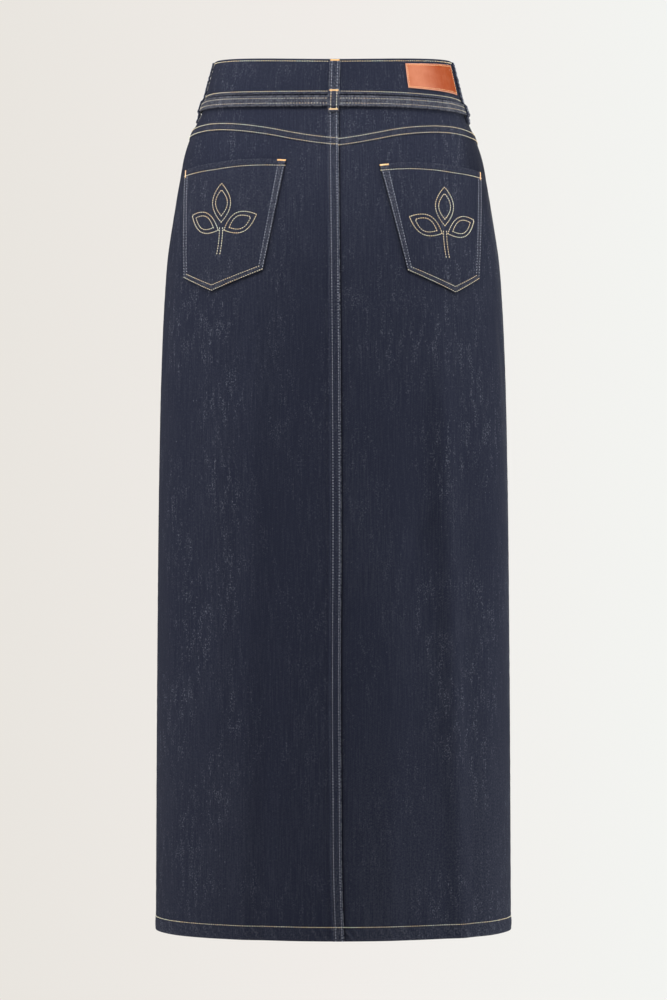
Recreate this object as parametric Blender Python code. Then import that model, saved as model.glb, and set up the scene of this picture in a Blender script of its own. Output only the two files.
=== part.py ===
"""Long straight denim skirt, filled out as it is worn, open at the waist and at the hem.

Every piece of cloth is a thin closed wall laid on one shared body surface. A place on that
surface is given as a tailor would give it: `across`, the distance over the cloth from the
centre back (plus to the wearer's right, minus to the left), and `height` above the middle of
the waistband. `out` is the distance off the surface, along its normal.

Frame: metres, +Z up, the origin in the middle of the waist, the back of the skirt towards -Y.
"""

from collections import namedtuple

import bmesh
import bpy
import numpy as np

# Walls, gaps and laps
GAP = 0.0003
CLOTH = 0.0015
SEAM_RISE = 0.0011
SEAM_WIDTH = 0.0116
SEAM_SLOPE = 0.0012
SEWN_HEM = 0.0170
HEM_EXTRA = 0.0010

# Waistband and belt
BAND_HALF = 0.0200
BAND_PROUD = 0.0015
SIDE_LIFT = 0.0048
BAND_OVERLAP = 0.0150
BAND_UNDERLAP = 0.0200
LAP_MARGIN = 0.0120
LAP_RAMP = 0.0250
EDGE_ROUND = 0.0005
BAND_ROWS = (0.0, 0.1, 0.5, 1.0)
BELT_LEVEL = -0.0276
BELT_HALF = 0.0061
BELT_THICK = 0.0022
BELT_SAG = 0.0056
BELT_STAND = SEAM_RISE + GAP
BELT_TIP = 0.1250
BELT_END_TAPER = 0.55
BELT_BEND_HALF = 0.0080

# Skirt
HEM = -0.9600
YOKE_LEVEL = -0.0650
YOKE_LAP = 0.0088
SIDE_SEAM_FORWARD = 0.0100
WAIST_SQUARENESS = 2.25
HEM_SQUARENESS = 2.00

# The right side hangs a little lower than the left one, but not at the waist's top edge; the
# lines of the waistband and belt dip at both sides
LEAN = 0.0030
LEAN_TOP = 0.0200
LEAN_EASE = 0.0360
SIDE_SAG = 0.0028
SAG_LEVEL = -0.0240
SAG_REACH = 0.0160
SAG_SPREAD = 0.0340

# The centre back seam wanders, and runs a little to the right towards the hem
SeamPoint = namedtuple("SeamPoint", "height shift")
SEAM_SHIFTS = (
    SeamPoint(height=-0.0200, shift=-0.0004),
    SeamPoint(height=-0.1000, shift=0.0003),
    SeamPoint(height=-0.3100, shift=0.0022),
    SeamPoint(height=-0.5350, shift=0.0030),
    SeamPoint(height=-0.6450, shift=0.0024),
    SeamPoint(height=-0.8000, shift=0.0030),
    SeamPoint(height=-0.9000, shift=0.0040),
    SeamPoint(height=-0.9600, shift=0.0062),
)

# The general figure: half the width, and the depth behind and in front of the origin
Section = namedtuple("Section", "height half_width back front")
SECTIONS = (
    Section(height=0.0400, half_width=0.1290, back=0.0945, front=0.0925),
    Section(height=0.0200, half_width=0.1345, back=0.0955, front=0.0935),
    Section(height=0.0000, half_width=0.1395, back=0.0970, front=0.0955),
    Section(height=-0.0200, half_width=0.1450, back=0.0990, front=0.0980),
    Section(height=-0.0400, half_width=0.1512, back=0.1020, front=0.1010),
    Section(height=-0.0600, half_width=0.1596, back=0.1065, front=0.1040),
    Section(height=-0.0850, half_width=0.1688, back=0.1135, front=0.1070),
    Section(height=-0.1100, half_width=0.1740, back=0.1210, front=0.1095),
    Section(height=-0.1550, half_width=0.1817, back=0.1310, front=0.1120),
    Section(height=-0.2000, half_width=0.1884, back=0.1362, front=0.1135),
    Section(height=-0.2450, half_width=0.1918, back=0.1370, front=0.1150),
    Section(height=-0.3350, half_width=0.1957, back=0.1350, front=0.1175),
    Section(height=-0.4400, half_width=0.1980, back=0.1345, front=0.1200),
    Section(height=-0.6500, half_width=0.2003, back=0.1395, front=0.1255),
    Section(height=-0.9600, half_width=0.2020, back=0.1470, front=0.1320),
    Section(height=-1.0000, half_width=0.2022, back=0.1478, front=0.1325),
)

# Soft vertical folds: a plus rise is a ridge, a minus one a trough; lean is sideways drift
# for each metre down
Fold = namedtuple("Fold", "across spread rise top bottom lean")
FOLDS = (
    Fold(across=-0.200, spread=0.034, rise=0.0030, top=-0.22, bottom=-1.30, lean=0.02),
    Fold(across=-0.098, spread=0.030, rise=-0.0026, top=-0.38, bottom=-1.30, lean=0.03),
    Fold(across=0.030, spread=0.040, rise=0.0016, top=-0.36, bottom=-1.20, lean=0.00),
    Fold(across=0.106, spread=0.026, rise=-0.0032, top=-0.30, bottom=-0.88, lean=0.01),
    Fold(across=0.196, spread=0.030, rise=0.0034, top=-0.19, bottom=-1.30, lean=-0.01),
    Fold(across=0.338, spread=0.028, rise=-0.0034, top=-0.30, bottom=-1.30, lean=0.01),
    Fold(across=0.402, spread=0.032, rise=0.0036, top=-0.24, bottom=-1.30, lean=0.01),
    Fold(across=0.470, spread=0.028, rise=-0.0024, top=-0.40, bottom=-1.00, lean=0.00),
    Fold(across=-0.334, spread=0.028, rise=-0.0030, top=-0.34, bottom=-1.30, lean=-0.01),
    Fold(across=-0.396, spread=0.034, rise=0.0034, top=-0.20, bottom=-1.30, lean=-0.02),
    Fold(across=-0.466, spread=0.026, rise=-0.0026, top=-0.36, bottom=-0.92, lean=0.01),
)
FOLD_FADE = 0.16

# Where the yoke meets the panel below it
YokePoint = namedtuple("YokePoint", "across height")
YOKE_SEAM = (
    YokePoint(across=0.000, height=-0.0778),
    YokePoint(across=0.026, height=-0.0746),
    YokePoint(across=0.048, height=-0.0709),
    YokePoint(across=0.073, height=-0.0661),
    YokePoint(across=0.100, height=-0.0624),
    YokePoint(across=0.125, height=-0.0604),
    YokePoint(across=0.153, height=-0.0604),
    YokePoint(across=0.180, height=-0.0625),
    YokePoint(across=0.225, height=-0.0665),
)

# Patch pockets, from the inner side to the outer one; they aren't quite alike
PocketPoint = namedtuple("PocketPoint", "across height")
RIGHT_MOUTH = (
    PocketPoint(across=0.0506, height=-0.0995),
    PocketPoint(across=0.0744, height=-0.0968),
    PocketPoint(across=0.1100, height=-0.0957),
    PocketPoint(across=0.1433, height=-0.0972),
    PocketPoint(across=0.1940, height=-0.1008),
)
RIGHT_FOOT = (
    PocketPoint(across=0.0827, height=-0.2179),
    PocketPoint(across=0.1413, height=-0.2414),
    PocketPoint(across=0.1769, height=-0.2238),
)
LEFT_MOUTH = (
    PocketPoint(across=0.0520, height=-0.0940),
    PocketPoint(across=0.0765, height=-0.0931),
    PocketPoint(across=0.1015, height=-0.0934),
    PocketPoint(across=0.1405, height=-0.0968),
    PocketPoint(across=0.1960, height=-0.1034),
)
LEFT_FOOT = (
    PocketPoint(across=0.0780, height=-0.2178),
    PocketPoint(across=0.1411, height=-0.2415),
    PocketPoint(across=0.1843, height=-0.2256),
)
POCKET_THICK = 0.0016

# Belt loops: tacked at the waistband's top and foot and below the belt, slack in between
LOOP_HALF = 0.0061
LOOP_THICK = 0.0020
LOOP_SLACK = 0.0012
SIDE_LOOP_SLACK = 0.0006
LOOP_TOP_INSET = 0.0004
LOOP_TACK = 0.0036
LOOP_SLACK_TOP = 0.0090
LOOP_SLACK_FOOT = -0.0060
LOOP_BAND_TACK_TOP = 0.0050
LOOP_BAND_TACK_FOOT = 0.0030
LOOP_EASE = 0.0004
LOOP_STEP = 0.0030
LOOP_FOOT = 0.0066
SIDE_LOOP_FOOT = 0.0110
SIDE_FOOT_OUT = 0.0015
LOOP_BACK_ACROSS = 0.0012
LOOP_BACK_SLANT = 0.032
LOOP_FROM_FRONT = 0.1000
LOOP_BEHIND_LEFT_SIDE = 0.0080
LOOP_BEHIND_RIGHT_SIDE = 0.0130

# Leather patch on the waistband
PATCH_INNER = 0.0833
PATCH_OUTER = 0.1585
PATCH_TOP_INSET = 0.0060
PATCH_FOOT = -0.0109
PATCH_FOOT_DROP = 0.0012
PATCH_THICK = 0.0014

# Buckle and button
FRAME_REACH = 0.0110
FRAME_BAR = 0.0011
FRAME_ROUND = 0.0007
FRAME_ROUND_STEPS = 2
FRAME_SIDE_CLEARANCE = 0.0013
PRONG_RADIUS = 0.0009
PRONG_BACK = 0.0060
PRONG_OVERHANG = 0.0022
RodRing = namedtuple("RodRing", "part radius_part")
PRONG_RINGS = (
    RodRing(part=0.00, radius_part=0.55),
    RodRing(part=0.06, radius_part=1.00),
    RodRing(part=0.92, radius_part=1.00),
    RodRing(part=1.00, radius_part=0.55),
)
PRONG_SIDES = 8
BUTTON_RADIUS = 0.0085
BUTTON_THICK = 0.0032
ButtonRing = namedtuple("ButtonRing", "radius_part rise_part")
BUTTON_PROFILE = (
    ButtonRing(radius_part=0.80, rise_part=0.00),
    ButtonRing(radius_part=1.00, rise_part=0.22),
    ButtonRing(radius_part=1.00, rise_part=0.62),
    ButtonRing(radius_part=0.88, rise_part=0.86),
    ButtonRing(radius_part=0.70, rise_part=0.78),
    ButtonRing(radius_part=0.62, rise_part=0.90),
    ButtonRing(radius_part=0.30, rise_part=1.00),
)
BUTTON_SIDES = 20

# Mesh density
RING_STEPS = 241
BACK_COLUMNS = 17
FRONT_COLUMNS = 16
PANEL_ROWS = 22
PANEL_PLAIN_PART = 0.96
HIP_CROWDING = 1.3
YOKE_ROWS = 4
YOKE_PLAIN_PART = 0.62
BAND_COLUMNS = 76
BELT_COLUMNS = 92
BELT_BEND_COLUMNS = 9
BELT_TAIL_COLUMNS = 12
POCKET_COLUMNS = 14
POCKET_ROWS = 11
PATCH_COLUMNS = 9
PATCH_ROWS = 4
NORMAL_STEP = 0.0006
SMOOTH_ANGLE = np.radians(40.0)

Finish = namedtuple("Finish", "colour roughness metallic")
DENIM = Finish(colour=(0.031, 0.035, 0.054), roughness=0.86, metallic=0.0)
BELT_DENIM = Finish(colour=(0.105, 0.112, 0.145), roughness=0.88, metallic=0.0)
LOOP_DENIM = Finish(colour=(0.040, 0.044, 0.066), roughness=0.86, metallic=0.0)
LEATHER = Finish(colour=(0.600, 0.165, 0.062), roughness=0.52, metallic=0.0)
METAL = Finish(colour=(0.620, 0.560, 0.470), roughness=0.34, metallic=1.0)


def clear_objects():
    for item in list(bpy.data.objects):
        bpy.data.objects.remove(item, do_unlink=True)


def smooth_curve(knots, values, at):
    """Cubic through a table's points, with slopes taken from each point's neighbours."""
    knots = np.asarray(knots, dtype=float)
    values = np.asarray(values, dtype=float)
    order = np.argsort(knots)
    knots = knots[order]
    values = values[order]
    slopes = np.gradient(values, knots)
    at = np.clip(at, knots[0], knots[-1])
    cell = np.clip(np.searchsorted(knots, at) - 1, 0, len(knots) - 2)
    width = knots[cell + 1] - knots[cell]
    part = (at - knots[cell]) / width
    first = values[cell] * (1 + 2 * part) * (1 - part) ** 2
    second = values[cell + 1] * part**2 * (3 - 2 * part)
    lift_first = slopes[cell] * width * part * (1 - part) ** 2
    lift_second = slopes[cell + 1] * width * part**2 * (part - 1)
    return first + second + lift_first + lift_second


def section_value(column, height):
    heights = [row.height for row in SECTIONS]
    values = [getattr(row, column) for row in SECTIONS]
    return smooth_curve(heights, values, height)


def smooth_step(value):
    value = np.clip(value, 0.0, 1.0)
    return value * value * (3 - 2 * value)


def ring_point(turn, height):
    """x and y of the body's outline at a height; turn runs from -90 degrees, the centre
    back, through 0, the side, to 90 degrees, the centre front."""
    fall = smooth_step(height / HEM)
    power = 2.0 / (WAIST_SQUARENESS + (HEM_SQUARENESS - WAIST_SQUARENESS) * fall)
    x = section_value("half_width", height) * np.abs(np.cos(turn)) ** power
    depth = np.where(turn < 0, section_value("back", height), section_value("front", height))
    return x, depth * np.sign(turn) * np.abs(np.sin(turn)) ** power


def half_ring(height):
    """Turns, and the arc length that each has from the centre back, one row a height."""
    height = np.atleast_1d(height)[:, None]
    turns = np.linspace(-np.pi / 2, np.pi / 2, RING_STEPS)[None, :]
    x, y = ring_point(turns, np.broadcast_to(height, (len(height), RING_STEPS)))
    steps = np.hypot(np.diff(x, axis=1), np.diff(y, axis=1))
    arc = np.concatenate([np.zeros((len(height), 1)), np.cumsum(steps, axis=1)], axis=1)
    return turns[0], arc


def half_girth(height):
    return half_ring(height)[1][:, -1]


def side_across(height):
    """Distance from the centre back to the widest point at the side."""
    turns, arc = half_ring(height)
    return arc[:, np.argmin(np.abs(turns))]


def bare_point(across, height):
    """Points of the bare body surface, one row for each pair of across and height."""
    half = half_girth(height)
    across = (across + half) % (2 * half) - half
    turns, arc = half_ring(height)
    distance = np.abs(across)
    cell = np.clip(np.sum(arc <= distance[:, None], axis=1) - 1, 0, RING_STEPS - 2)
    rows = np.arange(len(cell))
    start = arc[rows, cell]
    part = (distance - start) / (arc[rows, cell + 1] - start)
    turn = turns[cell] + part * (turns[cell + 1] - turns[cell])
    x, y = ring_point(turn, height)
    fade = np.clip((height - HEM) / -HEM, 0.0, 1.0)
    fade = fade * smooth_step((LEAN_TOP - height) / LEAN_EASE)
    drop = LEAN * fade * np.sin(np.pi * across / half) ** 3
    aside = (np.abs(across) - arc[:, np.argmin(np.abs(turns))]) / SAG_SPREAD
    away = (height - SAG_LEVEL) / SAG_REACH
    drop = drop + SIDE_SAG * np.exp(-(aside**2) - away**2)
    return np.stack([np.sign(across) * x, y, height - drop], axis=1)


def fold_rise(across, height):
    """How far the folds push the surface out."""
    rise = np.zeros_like(height)
    for fold in FOLDS:
        middle = fold.across + fold.lean * (fold.top - height)
        profile = np.exp(-(((across - middle) / fold.spread) ** 2))
        fade_in = smooth_step((fold.top - height) / FOLD_FADE)
        fade_out = smooth_step((height - fold.bottom) / FOLD_FADE)
        rise = rise + fold.rise * profile * fade_in * fade_out
    return rise


def cloth_point(across, height, out):
    """Points at a distance off the folded body surface."""
    shape = np.broadcast(across, height, out).shape
    across = np.broadcast_to(across, shape).ravel().astype(float)
    height = np.broadcast_to(height, shape).ravel().astype(float)
    out = np.broadcast_to(out, shape).ravel()
    point = bare_point(across, height)
    along = bare_point(across + NORMAL_STEP, height) - bare_point(across - NORMAL_STEP, height)
    up = bare_point(across, height + NORMAL_STEP) - bare_point(across, height - NORMAL_STEP)
    normal = np.cross(along, up)
    normal /= np.linalg.norm(normal, axis=1)[:, None]
    half = half_girth(height)
    wrapped = (across + half) % (2 * half) - half
    point = point + normal * (out + fold_rise(wrapped, height))[:, None]
    return point.reshape(shape + (3,))


def material_for(name, finish):
    material = bpy.data.materials.new(name + "_finish")
    material.use_nodes = True
    shader = material.node_tree.nodes["Principled BSDF"]
    shader.inputs["Base Color"].default_value = (*finish.colour, 1.0)
    shader.inputs["Roughness"].default_value = finish.roughness
    shader.inputs["Metallic"].default_value = finish.metallic
    return material


def add_object(name, vertices, faces, finish):
    mesh = bpy.data.meshes.new(name)
    mesh.from_pydata([tuple(map(float, vertex)) for vertex in vertices], [], faces)
    mesh.validate()
    mesh.shade_smooth()
    mesh.set_sharp_from_angle(angle=SMOOTH_ANGLE)
    mesh.materials.append(material_for(name, finish))
    item = bpy.data.objects.new(name, mesh)
    bpy.context.scene.collection.objects.link(item)
    return item


def wall(name, across, height, outer, inner, finish):
    """Closed wall over a grid of places: rows run downwards, columns run to plus across."""
    rows, columns = np.broadcast(across, height).shape
    outside = cloth_point(across, height, outer).reshape(-1, 3)
    inside = cloth_point(across, height, inner).reshape(-1, 3)
    count = rows * columns
    faces = []
    for row in range(rows - 1):
        for column in range(columns - 1):
            corner = row * columns + column
            below = corner + columns
            quad = (corner, below, below + 1, corner + 1)
            faces.append(quad)
            faces.append(tuple(count + index for index in reversed(quad)))
    top = list(range(columns))
    right = [row * columns + columns - 1 for row in range(rows)]
    bottom = [(rows - 1) * columns + column for column in range(columns)]
    left = [row * columns for row in range(rows)]
    rim = left + bottom[1:] + right[::-1][1:] + top[::-1][1:-1]
    for position, index in enumerate(rim):
        following = rim[(position + 1) % len(rim)]
        faces.append((following, index, count + index, count + following))
    return add_object(name, np.concatenate([outside, inside]), faces, finish)


def seam_shift(height):
    """How far the centre back seam lies to the right of the centre back."""
    heights = [point.height for point in SEAM_SHIFTS]
    shifts = [point.shift for point in SEAM_SHIFTS]
    return smooth_curve(heights, shifts, height)


def back_seam_edge(height):
    """Folded edge of the left back pieces, which lap over the right ones."""
    return seam_shift(height) + SEAM_WIDTH / 2


def front_seam_edge(height):
    """Folded edge of the left front panel, past the centre front."""
    return -half_girth(height.ravel()).reshape(height.shape) - SEAM_WIDTH / 2


def side_seam(height):
    return side_across(height.ravel()).reshape(height.shape) + SIDE_SEAM_FORWARD


def yoke_height(across):
    places = [point.across for point in YOKE_SEAM]
    heights = [point.height for point in YOKE_SEAM]
    return smooth_curve(places, heights, np.abs(across))


def at_same_turn(across, height, reference):
    """The across that lies straight above or below a place at a reference height."""
    half = half_girth(np.array([reference]))[0]
    height = np.asarray(height, dtype=float)
    return across * half_girth(height.ravel()).reshape(height.shape) / half


# A row's height is a part of the way from the piece's upper edge to its lower one, plus a
# lift; rise and inner are its outer and inner distances off the surface.
Row = namedtuple("Row", "part lift rise inner")


def yoke_rows():
    """Plain rows, then a felled lap along the lower edge."""
    plain = np.linspace(0.0, YOKE_PLAIN_PART, YOKE_ROWS)
    rows = [Row(part, 0.0, 0.0, -CLOTH) for part in plain]
    rows.append(Row(1.0, YOKE_LAP + SEAM_SLOPE, 0.0, -CLOTH))
    rows.append(Row(1.0, YOKE_LAP, SEAM_RISE, -CLOTH))
    rows.append(Row(1.0, 0.0, SEAM_RISE, -CLOTH))
    return rows


def panel_rows():
    """Rows close together over the hips, then a hem folded up on the inside."""
    plain = np.linspace(0.0, PANEL_PLAIN_PART, PANEL_ROWS) ** HIP_CROWDING
    rows = [Row(part, 0.0, 0.0, -CLOTH) for part in plain]
    rows.append(Row(1.0, SEWN_HEM + SEAM_SLOPE, 0.0, -CLOTH))
    rows.append(Row(1.0, SEWN_HEM, 0.0, -CLOTH - HEM_EXTRA))
    rows.append(Row(1.0, 0.0, 0.0, -CLOTH - HEM_EXTRA))
    return rows


def columns_between(near, far, count, lapped):
    """Place of each column as a part of the way and a shift, and its rise. The lapping
    piece has two raised columns at its folded edge and one at the foot of the step."""
    if not lapped:
        return np.linspace(0.0, 1.0, count), np.zeros(count), np.zeros(count)
    parts = np.concatenate([np.zeros(3), np.linspace(0.0, 1.0, count - 1)[2:]])
    shifts = np.zeros(len(parts))
    shifts[1] = SEAM_WIDTH
    shifts[2] = SEAM_WIDTH + SEAM_SLOPE
    rises = np.zeros(len(parts))
    rises[:2] = SEAM_RISE
    return parts, shifts * np.sign(far - near), rises


def body_piece(name, near, far, upper, lower, rows, count, lapped):
    """A yoke or panel between two seams, near and far, and two edges, upper and lower."""
    guide = np.array([[YOKE_LEVEL]])
    parts, shifts, ridges = columns_between(near(guide), far(guide), count, lapped)
    parts = parts[None, :]
    shifts = np.reshape(shifts, (1, -1))

    def places(height):
        start = near(height)
        return start + (far(height) - start) * parts + shifts

    edge = places(np.full((1, parts.shape[1]), YOKE_LEVEL))
    top = upper(edge)
    foot = lower(edge)
    down = np.array([row.part for row in rows])[:, None]
    lift = np.array([row.lift for row in rows])[:, None]
    rise = np.array([row.rise for row in rows])[:, None]
    inner = np.array([row.inner for row in rows])[:, None]
    height = top + (foot - top) * down + lift
    across = places(height)
    outer = np.maximum(rise, ridges[None, :])
    if across[0, 0] > across[0, -1]:
        across = across[:, ::-1]
        height = height[:, ::-1]
        outer = outer[:, ::-1]
    return wall(name, across, height, outer, np.broadcast_to(inner, outer.shape), DENIM)


def add_body():
    half_gap = GAP / 2

    def band_seam(across):
        return np.full_like(across, -BAND_HALF - GAP)

    def yoke_foot(across):
        return yoke_height(across) + half_gap

    def panel_top(across):
        return yoke_height(across) - half_gap

    def hem(across):
        return np.full_like(across, HEM)

    def right_back_near(height):
        return back_seam_edge(height) + GAP

    def right_side_back(height):
        return side_seam(height) - half_gap

    def left_side_back(height):
        return -side_seam(height) + half_gap

    def right_side_front(height):
        return side_seam(height) + half_gap

    def left_side_front(height):
        return -side_seam(height) - half_gap

    def right_front_far(height):
        half = half_girth(height.ravel()).reshape(height.shape)
        return half - SEAM_WIDTH / 2 - GAP

    yoke = yoke_rows()
    panel = panel_rows()
    back = BACK_COLUMNS
    front = FRONT_COLUMNS
    left_back = (back_seam_edge, left_side_back)
    right_back = (right_back_near, right_side_back)
    left_front = (front_seam_edge, left_side_front)
    right_front = (right_side_front, right_front_far)
    body_piece("back_yoke_left", *left_back, band_seam, yoke_foot, yoke, back, True)
    body_piece("back_yoke_right", *right_back, band_seam, yoke_foot, yoke, back, False)
    body_piece("back_panel_left", *left_back, panel_top, hem, panel, back, True)
    body_piece("back_panel_right", *right_back, panel_top, hem, panel, back, False)
    body_piece("front_panel_left", *left_front, band_seam, hem, panel, front, True)
    body_piece("front_panel_right", *right_front, band_seam, hem, panel, front, False)


def band_top(across):
    """The waistband's upper edge, a little higher at the sides."""
    girth = 2 * half_girth(np.array([0.0]))[0]
    return BAND_HALF + SIDE_LIFT * (1 - np.cos(4 * np.pi * across / girth)) / 2


def add_waistband():
    """One strip round the waist; its left end laps over its right end at the front. Its top
    edge is softly rounded."""
    half = half_girth(np.array([0.0]))[0]
    start = -half - BAND_OVERLAP
    across = np.linspace(start, half + BAND_UNDERLAP, BAND_COLUMNS)[None, :]
    top = band_top(across)
    height = top + (-BAND_HALF - top) * np.array(BAND_ROWS)[:, None]
    lap_end = start + BAND_OVERLAP + BAND_UNDERLAP + LAP_MARGIN
    over = 1 - smooth_step((across - lap_end) / LAP_RAMP)
    lift = over * (CLOTH + BAND_PROUD + GAP)
    rounding = np.array([EDGE_ROUND, 0.0, 0.0, 0.0])[:, None]
    outer = BAND_PROUD + lift - rounding
    inner = -CLOTH + lift + rounding
    wall("waistband", at_same_turn(across, height, 0.0), height, outer, inner, DENIM)


def belt_level(across):
    """Height of the belt's middle: level behind and at the sides, lower in front."""
    half = half_girth(np.array([BELT_LEVEL]))[0]
    front = np.maximum(0.0, -np.cos(np.pi * across / half))
    return BELT_LEVEL - BELT_SAG * front**2


def add_belt():
    """One strip from the buckle, round the back, through the buckle and on to its tip."""
    half = half_girth(np.array([BELT_LEVEL]))[0]
    start = -half + FRAME_REACH + FRAME_BAR + GAP
    bend_end = FRAME_REACH + 3 * FRAME_BAR
    around = np.linspace(start, half - bend_end, BELT_COLUMNS)
    bend = np.linspace(half - bend_end, half + bend_end, BELT_BEND_COLUMNS)
    tail = np.linspace(half + bend_end, half + BELT_TIP, BELT_TAIL_COLUMNS)
    across = np.concatenate([around[:-1], bend, tail[1:]])[None, :]
    ends = np.ones_like(across)
    ends[0, -1] = BELT_END_TAPER
    side = np.array([1.0, 0.0, -1.0])[:, None]
    height = belt_level(across) + side * ends * BELT_HALF
    over = smooth_step((across - half + BELT_BEND_HALF) / (2 * BELT_BEND_HALF))
    inner = BELT_STAND + over * (BELT_THICK + GAP)
    inner = np.broadcast_to(inner, height.shape)
    places = at_same_turn(across, height, BELT_LEVEL)
    wall("belt", places, height, inner + BELT_THICK, inner, BELT_DENIM)


# A stop on a loop's way down: its height, and how far its inner face is off the surface
LoopStop = namedtuple("LoopStop", "height out")


def add_loop(name, centre, foot_out, slack, layers, foot=LOOP_FOOT, slant=0.0):
    """A loop tacked at the band's top and foot, arched over the belt, tacked below it."""
    level = belt_level(np.array([centre]))[0]
    band = BAND_PROUD + GAP
    arch = BELT_STAND + layers * (BELT_THICK + GAP)
    top = band_top(np.array([centre]))[0] - LOOP_TOP_INSET
    belt_top = level + BELT_HALF
    belt_foot = level - BELT_HALF
    route = (
        LoopStop(height=top, out=band),
        LoopStop(height=top - LOOP_TACK, out=band),
        LoopStop(height=LOOP_SLACK_TOP, out=band + slack),
        LoopStop(height=LOOP_SLACK_FOOT, out=band + slack),
        LoopStop(height=-BAND_HALF + LOOP_BAND_TACK_TOP, out=band),
        LoopStop(height=-BAND_HALF + LOOP_BAND_TACK_FOOT, out=band),
        LoopStop(height=belt_top + LOOP_EASE, out=arch),
        LoopStop(height=level, out=arch),
        LoopStop(height=belt_foot - LOOP_EASE, out=arch),
        LoopStop(height=belt_foot - LOOP_STEP, out=foot_out),
        LoopStop(height=belt_foot - foot, out=foot_out),
    )
    height = np.array([stop.height for stop in route])[:, None]
    inner = np.array([stop.out for stop in route])[:, None]
    sides = np.array([[-LOOP_HALF, 0.0, LOOP_HALF]])
    across = at_same_turn(centre, height, BELT_LEVEL) + slant * height + sides
    inner = np.broadcast_to(inner, across.shape)
    height = np.broadcast_to(height, across.shape)
    wall(name, across, height, inner + LOOP_THICK, inner, LOOP_DENIM)


def add_loops():
    side = side_across(np.array([BELT_LEVEL]))[0]
    right = side - LOOP_BEHIND_RIGHT_SIDE
    left = LOOP_BEHIND_LEFT_SIDE - side
    front = half_girth(np.array([BELT_LEVEL]))[0] - LOOP_FROM_FRONT
    at_side = (SIDE_FOOT_OUT, SIDE_LOOP_SLACK, 1, SIDE_LOOP_FOOT)
    seam = SEAM_RISE + GAP
    add_loop("belt_loop_back", LOOP_BACK_ACROSS, seam, LOOP_SLACK, 1, slant=LOOP_BACK_SLANT)
    add_loop("belt_loop_side_right", right, *at_side)
    add_loop("belt_loop_side_left", left, *at_side)
    add_loop("belt_loop_front_right", front, GAP, LOOP_SLACK, 1)
    add_loop("belt_loop_front_left", -front, GAP, LOOP_SLACK, 2)


def add_pocket(name, mouth, foot, mirrored):
    """Patch pocket laid on its panel: a curved mouth, straight sides and a pointed foot."""
    parts = np.linspace(0.0, 1.0, POCKET_COLUMNS)
    mouth_at = [point.across for point in mouth]
    mouth_part = (np.array(mouth_at) - mouth_at[0]) / (mouth_at[-1] - mouth_at[0])
    mouth_height = [point.height for point in mouth]
    foot_at = [point.across for point in foot]
    foot_part = (np.array(foot_at) - foot_at[0]) / (foot_at[-1] - foot_at[0])
    foot_height = [point.height for point in foot]
    parts = np.sort(np.append(parts, foot_part[1]))
    top_across = np.interp(parts, mouth_part, mouth_at)
    top_height = smooth_curve(mouth_part, mouth_height, parts)
    foot_across = np.interp(parts, foot_part, foot_at)
    foot_line = np.interp(parts, foot_part, foot_height)
    down = np.linspace(0.0, 1.0, POCKET_ROWS)[:, None]
    across = top_across + (foot_across - top_across) * down
    height = top_height + (foot_line - top_height) * down
    if mirrored:
        across = -across[:, ::-1]
        height = height[:, ::-1]
    wall(name, across, height, GAP + POCKET_THICK, GAP, DENIM)


def add_patch():
    """Leather patch; its top follows the waistband's top edge."""
    part = np.linspace(0.0, 1.0, PATCH_COLUMNS)[None, :]
    across = PATCH_INNER + (PATCH_OUTER - PATCH_INNER) * part
    top = band_top(across) - PATCH_TOP_INSET
    foot = PATCH_FOOT - PATCH_FOOT_DROP * part
    height = top + (foot - top) * np.linspace(0.0, 1.0, PATCH_ROWS)[:, None]
    out = BAND_PROUD + GAP
    places = at_same_turn(across, height, 0.0)
    wall("leather_patch", places, height, out + PATCH_THICK, out, LEATHER)


def add_button():
    """Domed metal button in the middle of the front, turned about its own axis."""
    lap_out = BAND_PROUD + CLOTH + BAND_PROUD + GAP
    half = half_girth(np.array([0.0]))[0]
    seat = cloth_point(half, 0.0, lap_out + GAP)
    face = cloth_point(half, 0.0, lap_out + 2 * GAP)
    outward = (face - seat) / GAP
    upward = np.array([0.0, 0.0, 1.0]) - outward * outward[2]
    upward /= np.linalg.norm(upward)
    sideways = np.cross(upward, outward)
    angles = np.linspace(0.0, 2 * np.pi, BUTTON_SIDES, endpoint=False)
    vertices = [seat]
    for ring in BUTTON_PROFILE:
        middle = seat + outward * ring.rise_part * BUTTON_THICK
        for angle in angles:
            spoke = np.cos(angle) * sideways + np.sin(angle) * upward
            vertices.append(middle + spoke * ring.radius_part * BUTTON_RADIUS)
    vertices.append(seat + outward * BUTTON_THICK)
    last = len(vertices) - 1
    faces = []
    for side in range(BUTTON_SIDES):
        following = (side + 1) % BUTTON_SIDES
        faces.append((0, 1 + following, 1 + side))
        for ring in range(len(BUTTON_PROFILE) - 1):
            low = 1 + ring * BUTTON_SIDES
            high = low + BUTTON_SIDES
            faces.append((low + side, low + following, high + following, high + side))
        faces.append((last - BUTTON_SIDES + side, last - BUTTON_SIDES + following, last))
    add_object("waist_button", vertices, faces, METAL)


# A place round the buckle's frame: along is -1 at the front bar and 1 at the back bar
FrameStation = namedtuple("FrameStation", "along up")
FRAME_STATIONS = (
    FrameStation(along=-1, up=-1),
    FrameStation(along=-1, up=0),
    FrameStation(along=-1, up=1),
    FrameStation(along=0, up=1),
    FrameStation(along=1, up=1),
    FrameStation(along=1, up=0),
    FrameStation(along=1, up=-1),
    FrameStation(along=0, up=-1),
)
FRAME_SECTION = ((-1, 0), (1, 0), (1, 2), (-1, 2))


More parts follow.
